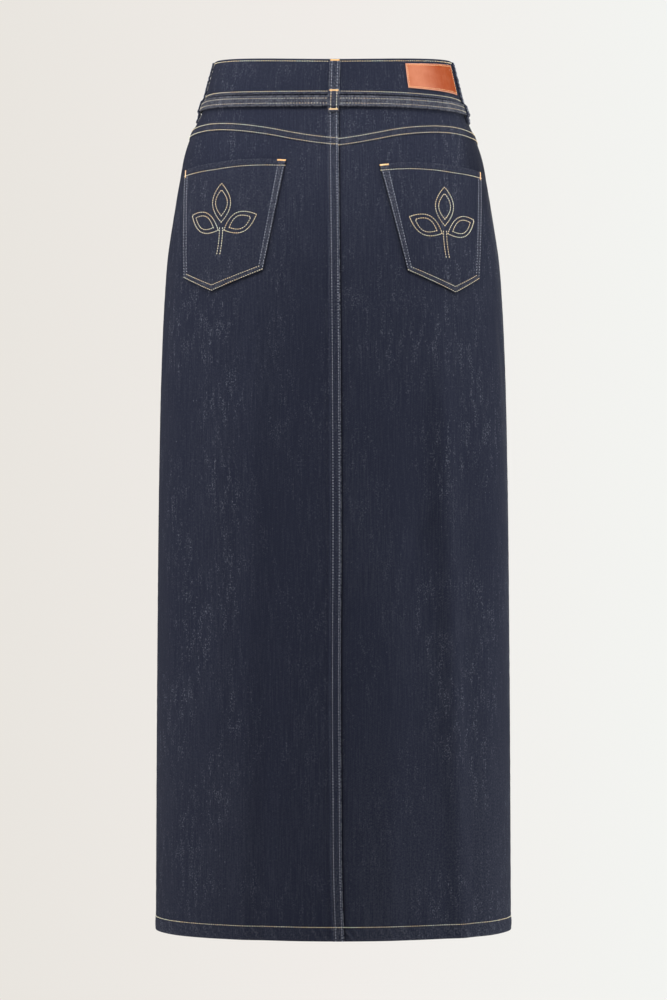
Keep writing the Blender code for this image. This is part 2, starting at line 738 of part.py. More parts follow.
def add_buckle():
    """A plain frame, tilted so that the belt runs under its front bar and over its back
    bar, and a prong that lies on the belt and on the front bar."""
    half = half_girth(np.array([BELT_LEVEL]))[0]
    level = belt_level(np.array([half]))[0]
    tall = BELT_HALF + FRAME_SIDE_CLEARANCE + FRAME_BAR
    tilt = BELT_THICK + GAP
    vertices = []
    for station in FRAME_STATIONS:
        out = BELT_STAND + tilt * (1 - station.along) / 2
        for bar, rise in FRAME_SECTION:
            across = half + station.along * (FRAME_REACH + bar * FRAME_BAR)
            height = level + station.up * (tall + bar * FRAME_BAR)
            place = at_same_turn(across, height, BELT_LEVEL)
            vertices.append(cloth_point(place, height, out + rise * FRAME_BAR))
    corners = len(FRAME_SECTION)
    faces = []
    for index in range(len(FRAME_STATIONS)):
        here = index * corners
        there = (index + 1) % len(FRAME_STATIONS) * corners
        for corner in range(corners):
            beside = (corner + 1) % corners
            faces.append((here + corner, there + corner, there + beside, here + beside))
    frame = add_object("belt_buckle", vertices, faces, METAL)
    round_edges = frame.modifiers.new("round_edges", "BEVEL")
    round_edges.width = FRAME_ROUND
    round_edges.segments = FRAME_ROUND_STEPS
    round_edges.limit_method = "ANGLE"
    face_outwards(frame)

    out = BELT_STAND + tilt + 2 * FRAME_BAR + GAP + PRONG_RADIUS
    start = cloth_point(half + PRONG_BACK, level, out)
    end = cloth_point(half - FRAME_REACH - FRAME_BAR - PRONG_OVERHANG, level, out)
    add_prong(start, end)


def face_outwards(item):
    shape = bmesh.new()
    shape.from_mesh(item.data)
    bmesh.ops.recalc_face_normals(shape, faces=shape.faces)
    shape.to_mesh(item.data)
    shape.free()


def add_prong(start, end):
    """A straight rod with narrowed ends."""
    axis = (end - start) / np.linalg.norm(end - start)
    upward = np.array([0.0, 0.0, 1.0])
    sideways = np.cross(axis, upward)
    sideways /= np.linalg.norm(sideways)
    angles = np.linspace(0.0, 2 * np.pi, PRONG_SIDES, endpoint=False)
    vertices = []
    for ring in PRONG_RINGS:
        middle = start + (end - start) * ring.part
        for angle in angles:
            spoke = np.cos(angle) * sideways + np.sin(angle) * upward
            vertices.append(middle + spoke * PRONG_RADIUS * ring.radius_part)
    faces = [tuple(range(PRONG_SIDES)), tuple(range(len(vertices) - PRONG_SIDES, len(vertices)))]
    for ring in range(len(PRONG_RINGS) - 1):
        low = ring * PRONG_SIDES
        high = low + PRONG_SIDES
        for side in range(PRONG_SIDES):
            following = (side + 1) % PRONG_SIDES
            faces.append((low + side, high + side, high + following, low + following))
    face_outwards(add_object("buckle_prong", vertices, faces, METAL))


def main():
    clear_objects()
    add_body()
    add_waistband()
    add_belt()
    add_loops()
    add_pocket("back_pocket_left", LEFT_MOUTH, LEFT_FOOT, True)
    add_pocket("back_pocket_right", RIGHT_MOUTH, RIGHT_FOOT, False)
    add_patch()
    add_button()
    add_buckle()


main()
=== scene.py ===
"""Looks of a long straight denim skirt, filled out as it is worn.

All cloth lies on one shared body surface. A place on it is given as a tailor would give it:
`across`, the distance over the cloth from the centre back (plus to the wearer's right), and
`height` above the middle of the waistband. `out` is the distance off that surface, along its
normal. Frame: metres, +Z up, origin in the middle of the waist, the skirt's back towards -Y.
"""

from __future__ import annotations

import logging
import math
from collections.abc import Callable, Sequence
from dataclasses import astuple, dataclass, field
from enum import Enum

import bpy
import numpy as np
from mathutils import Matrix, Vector

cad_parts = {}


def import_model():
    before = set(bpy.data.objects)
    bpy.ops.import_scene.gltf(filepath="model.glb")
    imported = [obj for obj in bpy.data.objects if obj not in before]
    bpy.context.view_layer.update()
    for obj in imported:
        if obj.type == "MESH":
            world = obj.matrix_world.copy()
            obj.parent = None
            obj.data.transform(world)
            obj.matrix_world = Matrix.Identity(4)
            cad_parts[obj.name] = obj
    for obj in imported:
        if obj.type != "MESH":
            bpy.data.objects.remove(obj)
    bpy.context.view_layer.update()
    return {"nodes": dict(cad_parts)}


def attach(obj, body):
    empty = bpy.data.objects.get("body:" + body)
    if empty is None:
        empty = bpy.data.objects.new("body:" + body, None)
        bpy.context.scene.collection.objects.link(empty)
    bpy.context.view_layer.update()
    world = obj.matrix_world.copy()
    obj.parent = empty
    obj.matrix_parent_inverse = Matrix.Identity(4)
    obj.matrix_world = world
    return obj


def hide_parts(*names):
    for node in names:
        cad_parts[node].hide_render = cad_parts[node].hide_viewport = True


LOG = logging.getLogger("denim_skirt")
Array = np.ndarray
Material = bpy.types.Material
Edge = Callable[[Array], Array]
Inputs = dict[object, object]
Colour = tuple[float, float, float]

# Walls, gaps and laps
GAP = 0.0003
TUCK = 0.0001
CLOTH = 0.0015
SEAM_RISE = 0.0011
SEAM_WIDTH = 0.0116
SEAM_SLOPE = 0.0014
TURN_SLOPE = 0.0020
EDGE_ROUND = 0.0009
GROOVE = 0.0009
GROOVE_DEPTH = 0.00022

# Waistband and belt
BAND_HALF = 0.0200
BAND_PROUD = 0.0015
SIDE_LIFT = 0.0048
BAND_OVERLAP = 0.0150
BAND_UNDERLAP = 0.0200
BELT_LEVEL = -0.0276
BELT_HALF = 0.0061
BELT_THICK = 0.0022
BELT_SAG = 0.0056
BELT_SIDE_RISE = 0.0012
BELT_STAND = SEAM_RISE + GAP
BUCKLE_REACH = 0.0110
BUCKLE_BAR = 0.0011

# Skirt
HEM = -0.9600
SIDE_SEAM_FORWARD = 0.0100
GUIDE_LEVEL = -0.0650


def smooth_step(value: Array) -> Array:
    """Smooth rise from 0 to 1 while the value goes from 0 to 1."""
    value = np.clip(value, 0.0, 1.0)
    return value * value * (3 - 2 * value)


def bump(distance: Array, spread: float) -> Array:
    """Bell curve: 1 at no distance, fading over the spread."""
    return np.exp(-((distance / spread) ** 2))


def ripple(place: Array, wavelength: float, phase: float) -> Array:
    """Uneven waves along a seam, as sewing pulls them.

    Args:
        place: Distance along the seam.
        wavelength: Mean length of a wave.
        phase: Where the pattern starts, so that no two seams match.

    Returns:
        Values between about -1 and 1.
    """
    turn = 2 * np.pi * place / wavelength
    drift = np.sin(0.31 * turn + 2.3 * phase) + 0.6 * np.sin(0.13 * turn + phase)
    swell = 0.65 + 0.35 * np.sin(0.19 * turn + 1.7 * phase)
    return swell * np.sin(turn + 1.4 * drift + phase)


def edge_drop(distance: Array, radius: float = EDGE_ROUND) -> Array:
    """How far a folded edge falls away within its radius."""
    inside = np.clip(1 - distance / radius, 0.0, 1.0)
    return radius * (1 - np.sqrt(1 - inside**2))


def lap_profile(distance: Array, width: float) -> Array:
    """1 on a lapped strip beside its edge, falling to 0 past its width."""
    return 1 - smooth_step((distance - width) / SEAM_SLOPE)


def turned_profile(distance: Array, width: float) -> Array:
    """1 on cloth that is turned under beside its edge, falling to 0 before its width."""
    return smooth_step((width - distance) / TURN_SLOPE)


def groove(distance: Array, rows: Sequence[float], width: float = GROOVE) -> Array:
    """1 where rows of stitches, at distances from an edge, pull the cloth down; 0 beside them."""
    return sum(bump(distance - row, width) for row in rows)


def hermite(knots: Array, values: Array, at: Array) -> Array:
    """Cubic through a table's points, with slopes taken from each point's neighbours.

    Args:
        knots: Places of the table's points, rising.
        values: The table's values.
        at: Places to read.

    Returns:
        The curve's values, held flat past both ends.
    """
    slopes = np.gradient(values, knots)
    at = np.clip(at, knots[0], knots[-1])
    cell = np.clip(np.searchsorted(knots, at) - 1, 0, len(knots) - 2)
    width = knots[cell + 1] - knots[cell]
    part = (at - knots[cell]) / width
    ends = values[cell] * (1 + 2 * part) * (1 - part) ** 2
    ends = ends + values[cell + 1] * part**2 * (3 - 2 * part)
    lift = slopes[cell] * width * part * (1 - part) ** 2
    return ends + lift + slopes[cell + 1] * width * part**2 * (part - 1)


def table(kind: type, text: str) -> tuple:
    """Rows of a table of numbers whose first line names the columns.

    Args:
        kind: The dataclass that each row makes.
        text: The table.

    Returns:
        One object for each row.
    """
    names, *rows = (line.split() for line in text.strip().splitlines())
    return tuple(kind(**dict(zip(names, map(float, row), strict=True))) for row in rows)


@dataclass(frozen=True)
class Section:
    """Half the width of the figure at a height, and its depth behind and in front."""

    height: float
    half_width: float
    back: float
    front: float


@dataclass(frozen=True)
class Fold:
    """A long soft fold: a plus rise is a ridge; lean is its drift for each metre down."""

    across: float
    spread: float
    rise: float
    top: float
    bottom: float
    lean: float


@dataclass(frozen=True)
class Crease:
    """A short soft crease: its middle, length, width, angle off the vertical and rise."""

    across: float
    height: float
    length: float
    width: float
    angle: float
    rise: float


SECTIONS = table(
    Section,
    """
     height  half_width    back   front
    -1.0000      0.2022  0.1478  0.1325
    -0.9600      0.2020  0.1470  0.1320
    -0.6500      0.2003  0.1395  0.1255
    -0.4400      0.1980  0.1345  0.1200
    -0.3350      0.1957  0.1350  0.1175
    -0.2450      0.1918  0.1370  0.1150
    -0.2000      0.1884  0.1362  0.1135
    -0.1550      0.1817  0.1310  0.1120
    -0.1100      0.1740  0.1210  0.1095
    -0.0850      0.1688  0.1135  0.1070
    -0.0600      0.1596  0.1065  0.1040
    -0.0400      0.1512  0.1020  0.1010
    -0.0200      0.1450  0.0990  0.0980
     0.0000      0.1395  0.0970  0.0955
     0.0200      0.1345  0.0955  0.0935
     0.0400      0.1290  0.0945  0.0925
    """,
)

FOLDS = table(
    Fold,
    """
    across  spread     rise    top  bottom    lean
     0.121   0.014   0.0054  -0.24   -1.30   0.040
    -0.126   0.026   0.0020  -0.28   -1.30  -0.020
    -0.080   0.017   0.0032  -0.16   -1.30  -0.028
    -0.200   0.034   0.0030  -0.22   -1.30    0.02
    -0.098   0.030  -0.0026  -0.38   -1.30    0.03
     0.030   0.040   0.0016  -0.36   -1.20    0.00
     0.096   0.024  -0.0034  -0.30   -0.88    0.01
     0.196   0.030   0.0034  -0.19   -1.30   -0.01
     0.338   0.028  -0.0034  -0.30   -1.30    0.01
     0.402   0.032   0.0036  -0.24   -1.30    0.01
     0.470   0.028  -0.0024  -0.40   -1.00    0.00
    -0.334   0.028  -0.0030  -0.34   -1.30   -0.01
    -0.396   0.034   0.0034  -0.20   -1.30   -0.02
    -0.466   0.026  -0.0026  -0.36   -0.92    0.01
    """,
)

CREASES = table(
    Crease,
    """
    across  height  length  width  angle     rise
     0.228  -0.050   0.080  0.040    0.0   0.0020
     0.228  -0.018   0.050  0.036    0.0   0.0026
    -0.228  -0.036   0.022  0.036    0.0  -0.0012
    -0.228  -0.054   0.064  0.040    0.0   0.0018
     0.052  -0.540   0.070  0.011   56.0   0.0020
     0.098  -0.512   0.056  0.012   24.0  -0.0034
     0.062  -0.870   0.170  0.016    0.0   0.0034
    -0.168  -0.300   0.150  0.012    3.0  -0.0014
    -0.200  -0.640   0.180  0.013   -4.0   0.0016
    -0.034  -0.235   0.055  0.010  -38.0  -0.0008
    -0.022  -0.205   0.045  0.009  -42.0   0.0005
     0.030  -0.262   0.060  0.011   36.0  -0.0006
    -0.228  -0.330   0.090  0.010   12.0  -0.0010
     0.226  -0.300   0.110  0.010  -10.0  -0.0012
    -0.150  -0.640   0.160  0.013    4.0  -0.0008
     0.160  -0.700   0.190  0.014   -3.0  -0.0010
    -0.060  -0.800   0.150  0.013    3.0   0.0008
     0.405  -0.120   0.060  0.010   58.0  -0.0010
     0.398  -0.150   0.070  0.011   50.0   0.0007
    -0.410  -0.128   0.064  0.010  -55.0  -0.0009
    -0.380  -0.172   0.072  0.012  -46.0   0.0007
     0.440  -0.420   0.120  0.012    8.0  -0.0009
    -0.430  -0.560   0.150  0.013   -6.0  -0.0009
    """,
)


class Figure:
    """The body surface that all cloth lies on, with its folds and creases.

    Each ring is a squared ellipse. A table of turns by height and by part of the half girth
    turns a tailor's `across` into a place on the ring.
    """

    WAIST_SQUARENESS = 2.25
    HEM_SQUARENESS = 2.00
    LEAN = 0.0030
    LEAN_TOP = 0.0200
    LEAN_EASE = 0.0360
    SIDE_SAG = 0.0028
    SAG_LEVEL = -0.0240
    SAG_REACH = 0.0160
    SAG_SPREAD = 0.0340
    FOLD_FADE = 0.16
    NORMAL_STEP = 0.0006
    LOWEST = -0.9900
    HIGHEST = 0.0350
    HEIGHT_STEPS = 342
    PART_STEPS = 901
    TURN_STEPS = 1441

    def __init__(self) -> None:
        """Tabulate the rings."""
        self.section_heights = np.array([row.height for row in SECTIONS])
        self.section_columns = {
            name: np.array([getattr(row, name) for row in SECTIONS])
            for name in ("half_width", "back", "front")
        }
        self.heights = np.linspace(self.LOWEST, self.HIGHEST, self.HEIGHT_STEPS)
        turns = np.linspace(-np.pi / 2, np.pi / 2, self.TURN_STEPS)
        x, y = self.ring_point(turns[None, :], self.heights[:, None])
        steps = np.hypot(np.diff(x, axis=1), np.diff(y, axis=1))
        arc = np.concatenate([np.zeros((len(steps), 1)), np.cumsum(steps, axis=1)], axis=1)
        self.half_girths = arc[:, -1]
        self.sides = arc[:, self.TURN_STEPS // 2]
        parts = np.linspace(0.0, 1.0, self.PART_STEPS)
        rows = [np.interp(parts, row / row[-1], turns) for row in arc]
        self.turn_table = np.array(rows)

    def section_value(self, column: str, height: Array) -> Array:
        """One column of the section table, read smoothly at each height."""
        return hermite(self.section_heights, self.section_columns[column], height)

    def ring_point(self, turn: Array, height: Array) -> tuple[Array, Array]:
        """x and y on the ring; turn runs from -90 degrees at the centre back to 90 in front."""
        fall = smooth_step(height / HEM)
        square = self.WAIST_SQUARENESS + (self.HEM_SQUARENESS - self.WAIST_SQUARENESS) * fall
        power = 2.0 / square
        x = self.section_value("half_width", height) * np.abs(np.cos(turn)) ** power
        back = self.section_value("back", height)
        depth = np.where(turn < 0, back, self.section_value("front", height))
        return x, depth * np.sign(turn) * np.abs(np.sin(turn)) ** power

    def half_girth(self, height: Array | float) -> Array:
        """Distance over the cloth from the centre back to the centre front."""
        return np.interp(height, self.heights, self.half_girths)

    def side_across(self, height: Array | float) -> Array:
        """Distance over the cloth from the centre back to the widest point."""
        return np.interp(height, self.heights, self.sides)

    def wrapped(self, across: Array, height: Array) -> Array:
        """The same place named by the shorter way round."""
        half = self.half_girth(height)
        return (across + half) % (2 * half) - half

    def bare(self, across: Array, height: Array) -> Array:
        """Points of the figure without folds."""
        half = self.half_girth(height)
        across = self.wrapped(across, height)
        row = (height - self.LOWEST) / (self.HIGHEST - self.LOWEST) * (self.HEIGHT_STEPS - 1)
        column = np.abs(across) / half * (self.PART_STEPS - 1)
        low = np.clip(row.astype(int), 0, self.HEIGHT_STEPS - 2)
        left = np.clip(column.astype(int), 0, self.PART_STEPS - 2)
        down = row - low
        along = column - left
        upper = self.turn_table[low, left] * (1 - along) + self.turn_table[low, left + 1] * along
        lower = self.turn_table[low + 1, left] * (1 - along)
        lower = lower + self.turn_table[low + 1, left + 1] * along
        x, y = self.ring_point(upper * (1 - down) + lower * down, height)
        fade = np.clip((height - HEM) / -HEM, 0.0, 1.0)
        fade = fade * smooth_step((self.LEAN_TOP - height) / self.LEAN_EASE)
        drop = self.LEAN * fade * np.sin(np.pi * across / half) ** 3
        aside = np.abs(across) - self.side_across(height)
        sag = bump(aside, self.SAG_SPREAD) * bump(height - self.SAG_LEVEL, self.SAG_REACH)
        drop = drop + self.SIDE_SAG * sag
        return np.stack([np.sign(across) * x, y, height - drop], axis=-1)

    def relief(self, across: Array, height: Array) -> Array:
        """How far folds and creases push the cloth out."""
        rise = np.zeros_like(height)
        for fold in FOLDS:
            middle = fold.across + fold.lean * (fold.top - height)
            fade_in = smooth_step((fold.top - height) / self.FOLD_FADE)
            fade_out = smooth_step((height - fold.bottom) / self.FOLD_FADE)
            rise += fold.rise * bump(across - middle, fold.spread) * fade_in * fade_out
        for crease in CREASES:
            angle = math.radians(crease.angle)
            right = across - crease.across
            up = height - crease.height
            along = up * math.cos(angle) + right * math.sin(angle)
            aside = right * math.cos(angle) - up * math.sin(angle)
            shape = bump(aside, crease.width) * bump(along, crease.length / 2)
            rise += crease.rise * shape
        return rise

    def frame_at(
        self, across: Array, height: Array, out: Array | float
    ) -> tuple[Array, Array]:
        """Points off the cloth surface, and the normals there.

        Args:
            across: Places over the cloth.
            height: Heights, of the same shape.
            out: Distances off the surface.

        Returns:
            Points and unit normals, each with a last axis of three.
        """
        across, height, out = np.broadcast_arrays(across, height, out)
        step = self.NORMAL_STEP
        along = self.bare(across + step, height) - self.bare(across - step, height)
        up = self.bare(across, height + step) - self.bare(across, height - step)
        normal = np.cross(along, up)
        normal /= np.linalg.norm(normal, axis=-1)[..., None]
        rise = out + self.relief(self.wrapped(across, height), height)
        return self.bare(across, height) + normal * rise[..., None], normal

    def at_same_turn(self, across: Array | float, height: Array, level: float):
        """The across that lies straight above or below a place at a level."""
        return across * self.half_girth(height) / self.half_girth(level)


@dataclass(frozen=True)
class Grading:
    """Grid lines between two edges: set distances beside each edge, even lines between."""

    near: tuple[float, ...]
    middle: int
    far: tuple[float, ...]

    def lines(self) -> tuple[Array, Array]:
        """Part of the way across, and the added shift from the first edge, of each line."""
        near = np.array(self.near)
        far = np.array(self.far)[::-1]
        between = np.linspace(0.0, 1.0, self.middle + 2)[1:-1]
        parts = np.concatenate([np.zeros(len(near)), between, np.ones(len(far))])
        even = near[-1] * (1 - between) - far[0] * between
        return parts, np.concatenate([near, even, -far])

    def between(self, start: Array | float, end: Array | float, is_down: bool = False) -> Array:
        """Places of the lines from a start to an end, along a row or down a column."""
        parts, shifts = (line[:, None] if is_down else line[None, :] for line in self.lines())
        return start + (end - start) * parts + np.sign(end - start) * shifts


def beside_edge(reach: float, step: float) -> tuple[float, ...]:
    """Distances from an edge: close together on its rounding, then even up to a reach."""
    rounding = (0.0, 0.00015, 0.0004, 0.0008)
    return rounding + tuple(np.arange(rounding[-1] + step, reach + step / 2, step))


def part_grid(columns: Grading, rows: Grading, wide: float, tall: float) -> list[Array]:
    """Parts of the way over and down a piece of some size, at each crossing of its lines."""
    parts, shifts = columns.lines()
    downs, lifts = rows.lines()
    return np.meshgrid(parts + shifts / wide, downs + lifts / tall)


@dataclass
class Reach:
    """Places on a piece, and their distances from its near, far and lower edges."""

    across: Array
    height: Array
    near: Array
    far: Array
    foot: Array


@dataclass
class ClothPiece:
    """A piece of cloth between a near and a far edge and an upper and a lower one.

    `surface` gives the outer face's distance off the body surface; `marks` gives named
    masks between 0 and 1 for its finish, such as where it is worn or puckered, and where painted
    light, highlights and shadow go.
    """

    name: str
    near: Edge
    far: Edge
    upper: Edge
    lower: Edge
    columns: Grading
    rows: Grading
    surface: Callable[[Reach], Array]
    marks: Callable[[Reach], dict[str, Array]]

    def reach(self, across: Array, height: Array) -> Reach:
        """Distances of places from this piece's edges."""
        return Reach(
            across=across,
            height=height,
            near=np.abs(across - self.near(height)),
            far=np.abs(self.far(height) - across),
            foot=np.maximum(height - self.lower(across), 0.0),
        )

    def row(self, across: Array, height: Array) -> StitchRow:
        """A row that lies on the piece."""
        return StitchRow(across, height, self.surface(self.reach(across, height)))

    def grid(self) -> Reach:
        """The piece's grid: rows run down, columns run to plus across."""

        def places(height: Array) -> Array:
            return self.columns.between(self.near(height), self.far(height))

        edge = places(np.array([[GUIDE_LEVEL]]))
        height = self.rows.between(self.upper(edge), self.lower(edge), is_down=True)
        across = places(height)
        if across[0, 0] > across[0, -1]:
            across = across[:, ::-1]
            height = height[:, ::-1]
        return self.reach(across, height)

    def shell(self) -> Shell:
        """The piece's wall."""
        grid = self.grid()
        faces = (self.surface(grid), -CLOTH)
        return Shell(self.name, grid.across, grid.height, *faces, self.marks(grid))


@dataclass
class Shell:
    """A thin wall: its grid's places, its faces' distances off the body, and its masks.

    `across` and `height` also become the UV map in metres. Where `level` is given, `across` is
    measured there, and each column runs straight up and down from it.
    """

    name: str
    across: Array
    height: Array
    outer: Array
    inner: Array | float
    marks: dict[str, Array]
    level: float | None = None


INSIDE_STRIDE = 4
SHARP_ANGLE = 55.0


def inside_lines(count: int) -> Array:
    """Which grid lines the plainer inner face keeps."""
    return np.unique(np.append(np.arange(0, count, INSIDE_STRIDE), count - 1))


def border(rows: Sequence[int], columns: Sequence[int], width: int) -> list[int]:
    """Indices round a grid's border: down the left, along the foot, up the right, back."""
    left = [row * width + columns[0] for row in rows]
    foot = [rows[-1] * width + column for column in columns]
    right = [row * width + columns[-1] for row in rows]
    top = [rows[0] * width + column for column in columns]
    return left + foot[1:] + right[::-1][1:] + top[::-1][1:-1]


def grid_quads(indices: Array) -> Array:
    """Outward faces over a grid of vertex indices."""
    corner = indices[:-1, :-1].ravel()
    below = indices[1:, :-1].ravel()
    across = indices[1:, 1:].ravel()
    beside = indices[:-1, 1:].ravel()
    return np.stack([corner, below, across, beside], axis=1)


def shell_mesh(shell: Shell, outside: Array, inside: Array) -> bpy.types.Mesh:
    """Closed thin shell with a fine outer face, a plainer inner face and a rim.

    Args:
        shell: The wall.
        outside: Points of its outer face, rows by columns by three.
        inside: Points of its inner face on the same grid.

    Returns:
        The mesh; its inner faces have material index 1.
    """
    rows, columns = outside.shape[:2]
    kept_rows = inside_lines(rows)
    kept_columns = inside_lines(columns)
    count = rows * columns
    fine = np.arange(count).reshape(rows, columns)
    coarse = count + np.arange(len(kept_rows) * len(kept_columns))
    coarse = coarse.reshape(len(kept_rows), len(kept_columns))
    faces = grid_quads(fine).tolist()
    inner_start = len(faces)
    faces += grid_quads(coarse)[:, ::-1].tolist()
    inner_end = len(faces)

    rim = border(range(rows), range(columns), columns)
    where = {index: position for position, index in enumerate(rim)}
    kept = border(kept_rows.tolist(), kept_columns.tolist(), columns)
    width = len(kept_columns)
    inner_rim = border(range(len(kept_rows)), range(width), width)
    for position, index in enumerate(kept):
        following = (position + 1) % len(kept)
        start = where[index]
        length = (where[kept[following]] - start) % len(rim)
        here = count + inner_rim[position]
        there = count + inner_rim[following]
        middle = (length + 1) // 2
        for step in range(length):
            first = rim[(start + step) % len(rim)]
            second = rim[(start + step + 1) % len(rim)]
            faces.append((second, first, here if step < middle else there))
        faces.append((rim[(start + middle) % len(rim)], here, there))

    chosen = np.ix_(kept_rows, kept_columns)
    points = np.concatenate([outside.reshape(-1, 3), inside[chosen].reshape(-1, 3)])
    mesh = bpy.data.meshes.new(shell.name)
    mesh.from_pydata(points.tolist(), [], faces)
    material = np.zeros(len(faces), np.int32)
    material[inner_start:inner_end] = 1
    mesh.polygons.foreach_set("material_index", material)
    flat = np.stack((shell.across, shell.height), axis=-1)
    flat = np.concatenate([flat.reshape(-1, 2), flat[chosen].reshape(-1, 2)])
    corners = np.zeros(len(mesh.loops), np.int32)
    mesh.loops.foreach_get("vertex_index", corners)
    mesh.uv_layers.new(name="cloth").data.foreach_set("uv", flat[corners].ravel())
    for mark, values in shell.marks.items():
        layer = mesh.attributes.new(mark, "FLOAT", "POINT")
        inner_marks = np.zeros(len(points) - count)
        layer.data.foreach_set("value", np.concatenate([values.ravel(), inner_marks]))
    mesh.shade_smooth()
    mesh.set_sharp_from_angle(angle=math.radians(SHARP_ANGLE))
    return mesh


def flat_cut(across: Array, height: Array) -> tuple[tuple[float, float], float]:
    """Width, length and area of a piece's cut laid flat.

    Args:
        across: The grid's places.
        height: The grid's heights.

    Returns:
        (width, length) and the area.
    """
    size = (float(np.ptp(across)), float(np.ptp(height)))
    wide = np.diff(across, axis=1)
    tall = -np.diff(height, axis=0)
    wide = (wide[1:] + wide[:-1]) / 2
    tall = (tall[:, 1:] + tall[:, :-1]) / 2
    return size, min(float(np.sum(wide * tall)), size[0] * size[1])


def add_object(name: str, data: bpy.types.ID) -> bpy.types.Object:
    """Put a mesh, a light or a camera in the scene."""
    item = bpy.data.objects.new(name, data)
    bpy.context.scene.collection.objects.link(item)
    return item


class Slot(Enum):
    """The record's material slots."""

    DENIM = "denim"
    BELT = "belt_denim"
    LEATHER = "patch_leather"
    METAL = "hardware"
    GOLD = "gold_thread"
    ORANGE = "orange_thread"
    GREY = "grey_thread"


@dataclass(frozen=True)
class Wire:
    """An output of a node. Numbers can be added to it, taken from it and multiplied by it."""

    bench: Bench
    socket: bpy.types.NodeSocket

    def __add__(self, other: object) -> Wire:
        """Sum."""
        return self.bench.maths("ADD", self, other)

    def __sub__(self, other: object) -> Wire:
        """Difference."""
        return self.bench.maths("SUBTRACT", self, other)

    def __rsub__(self, other: object) -> Wire:
        """Difference from a plain number."""
        return self.bench.maths("SUBTRACT", other, self)

    def __mul__(self, other: object) -> Wire:
        """Product."""
        return self.bench.maths("MULTIPLY", self, other)


class Bench:
    """Adds and joins the nodes of one tree."""

    def __init__(self, tree: bpy.types.NodeTree) -> None:
        """Work on a tree."""
        self.tree = tree

    def feed(self, socket: bpy.types.NodeSocket, value: object) -> None:
        """Link a socket to another one, or set its value."""
        if isinstance(value, Wire):
            value = value.socket
        if isinstance(value, bpy.types.NodeSocket):
            self.tree.links.new(value, socket)
        else:
            socket.default_value = value

    def add(self, kind: str, inputs: Inputs | None = None, **settings: object):
        """Add a node.

        Args:
            kind: The node's Blender type.
            inputs: Values or wires for its inputs, by name or number.
            settings: Its properties.

        Returns:
            The node.
        """
        node = self.tree.nodes.new(kind)
        for key, value in settings.items():
            setattr(node, key, value)
        for key, value in (inputs or {}).items():
            self.feed(node.inputs[key], value)
        return node

    def wire(
        self,
        kind: str,
        inputs: Inputs | None = None,
        output: int | str = 0,
        **settings: object,
    ) -> Wire:
        """Add a node and give one of its outputs."""
        return Wire(self, self.add(kind, inputs, **settings).outputs[output])

    def maths(self, operation: str, first: object, second: object = 0.0) -> Wire:
        """Result of an operation on two numbers."""
        return self.wire("ShaderNodeMath", {0: first, 1: second}, operation=operation)


class ShaderTree(Bench):
    """The nodes of one material."""

    def __init__(self, name: str) -> None:
        """Start a material with its Principled shader."""
        self.material = bpy.data.materials.new(name)
        self.material.use_nodes = True
        super().__init__(self.material.node_tree)
        self.shader = self.tree.nodes["Principled BSDF"]

    def ramp(self, value: object, low: float, high: float) -> Wire:
        """Smooth rise from 0 to 1 between two values."""
        inputs = {"Value": value, "From Min": low, "From Max": high}
        return self.wire("ShaderNodeMapRange", inputs, "Result", interpolation_type="SMOOTHSTEP")

    def clamp(self, value: object) -> Wire:
        """A value held between 0 and 1."""
        return self.wire("ShaderNodeClamp", {"Value": value})

    def scaled(self, place: Wire, scale: Sequence[float]) -> Wire:
        """A place scaled along each axis."""
        return self.wire("ShaderNodeMapping", {"Vector": place, "Scale": tuple(scale)})

    def noise(
        self, place: Wire, scale: Sequence[float], detail: float = 2.0, roughness: float = 0.5
    ) -> Wire:
        """Noise with so many cells to the metre along each axis."""
        inputs = {"Vector": self.scaled(place, scale), "Scale": 1.0}
        return self.wire("ShaderNodeTexNoise", inputs | {"Detail": detail, "Roughness": roughness})

    def mix(self, part: object, first: object, second: object) -> Wire:
        """Mix of two colours."""
        node = self.add("ShaderNodeMix", data_type="RGBA")
        for number, value in ((0, part), (6, first), (7, second)):
            self.feed(node.inputs[number], (*value, 1.0) if isinstance(value, tuple) else value)
        return Wire(self, node.outputs[2])

    def mark(self, name: str) -> Wire:
        """A mask kept on the mesh."""
        return self.wire("ShaderNodeAttribute", None, "Fac", attribute_name=name)

    def set_plain(self, **values: float) -> None:
        """Set the shader's own sockets; an underscore stands for a space."""
        for key, value in values.items():
            self.shader.inputs[key.replace("_", " ")].default_value = value

    def finish(
        self, colour: Wire, roughness: object, height: Wire, depth: float
    ) -> Material:
        """Wire up colour, roughness and bump, and give the material.

        Args:
            colour: The base colour.
            roughness: The roughness.
            height: The bump's height.
            depth: The bump's distance in metres.

        Returns:
            The material.
        """
        inputs = {"Height": height, "Distance": depth, "Strength": 1.0}
        relief = self.wire("ShaderNodeBump", inputs, "Normal")
        for key, value in (("Base Color", colour), ("Roughness", roughness), ("Normal", relief)):
            self.feed(self.shader.inputs[key], value)
        return self.material


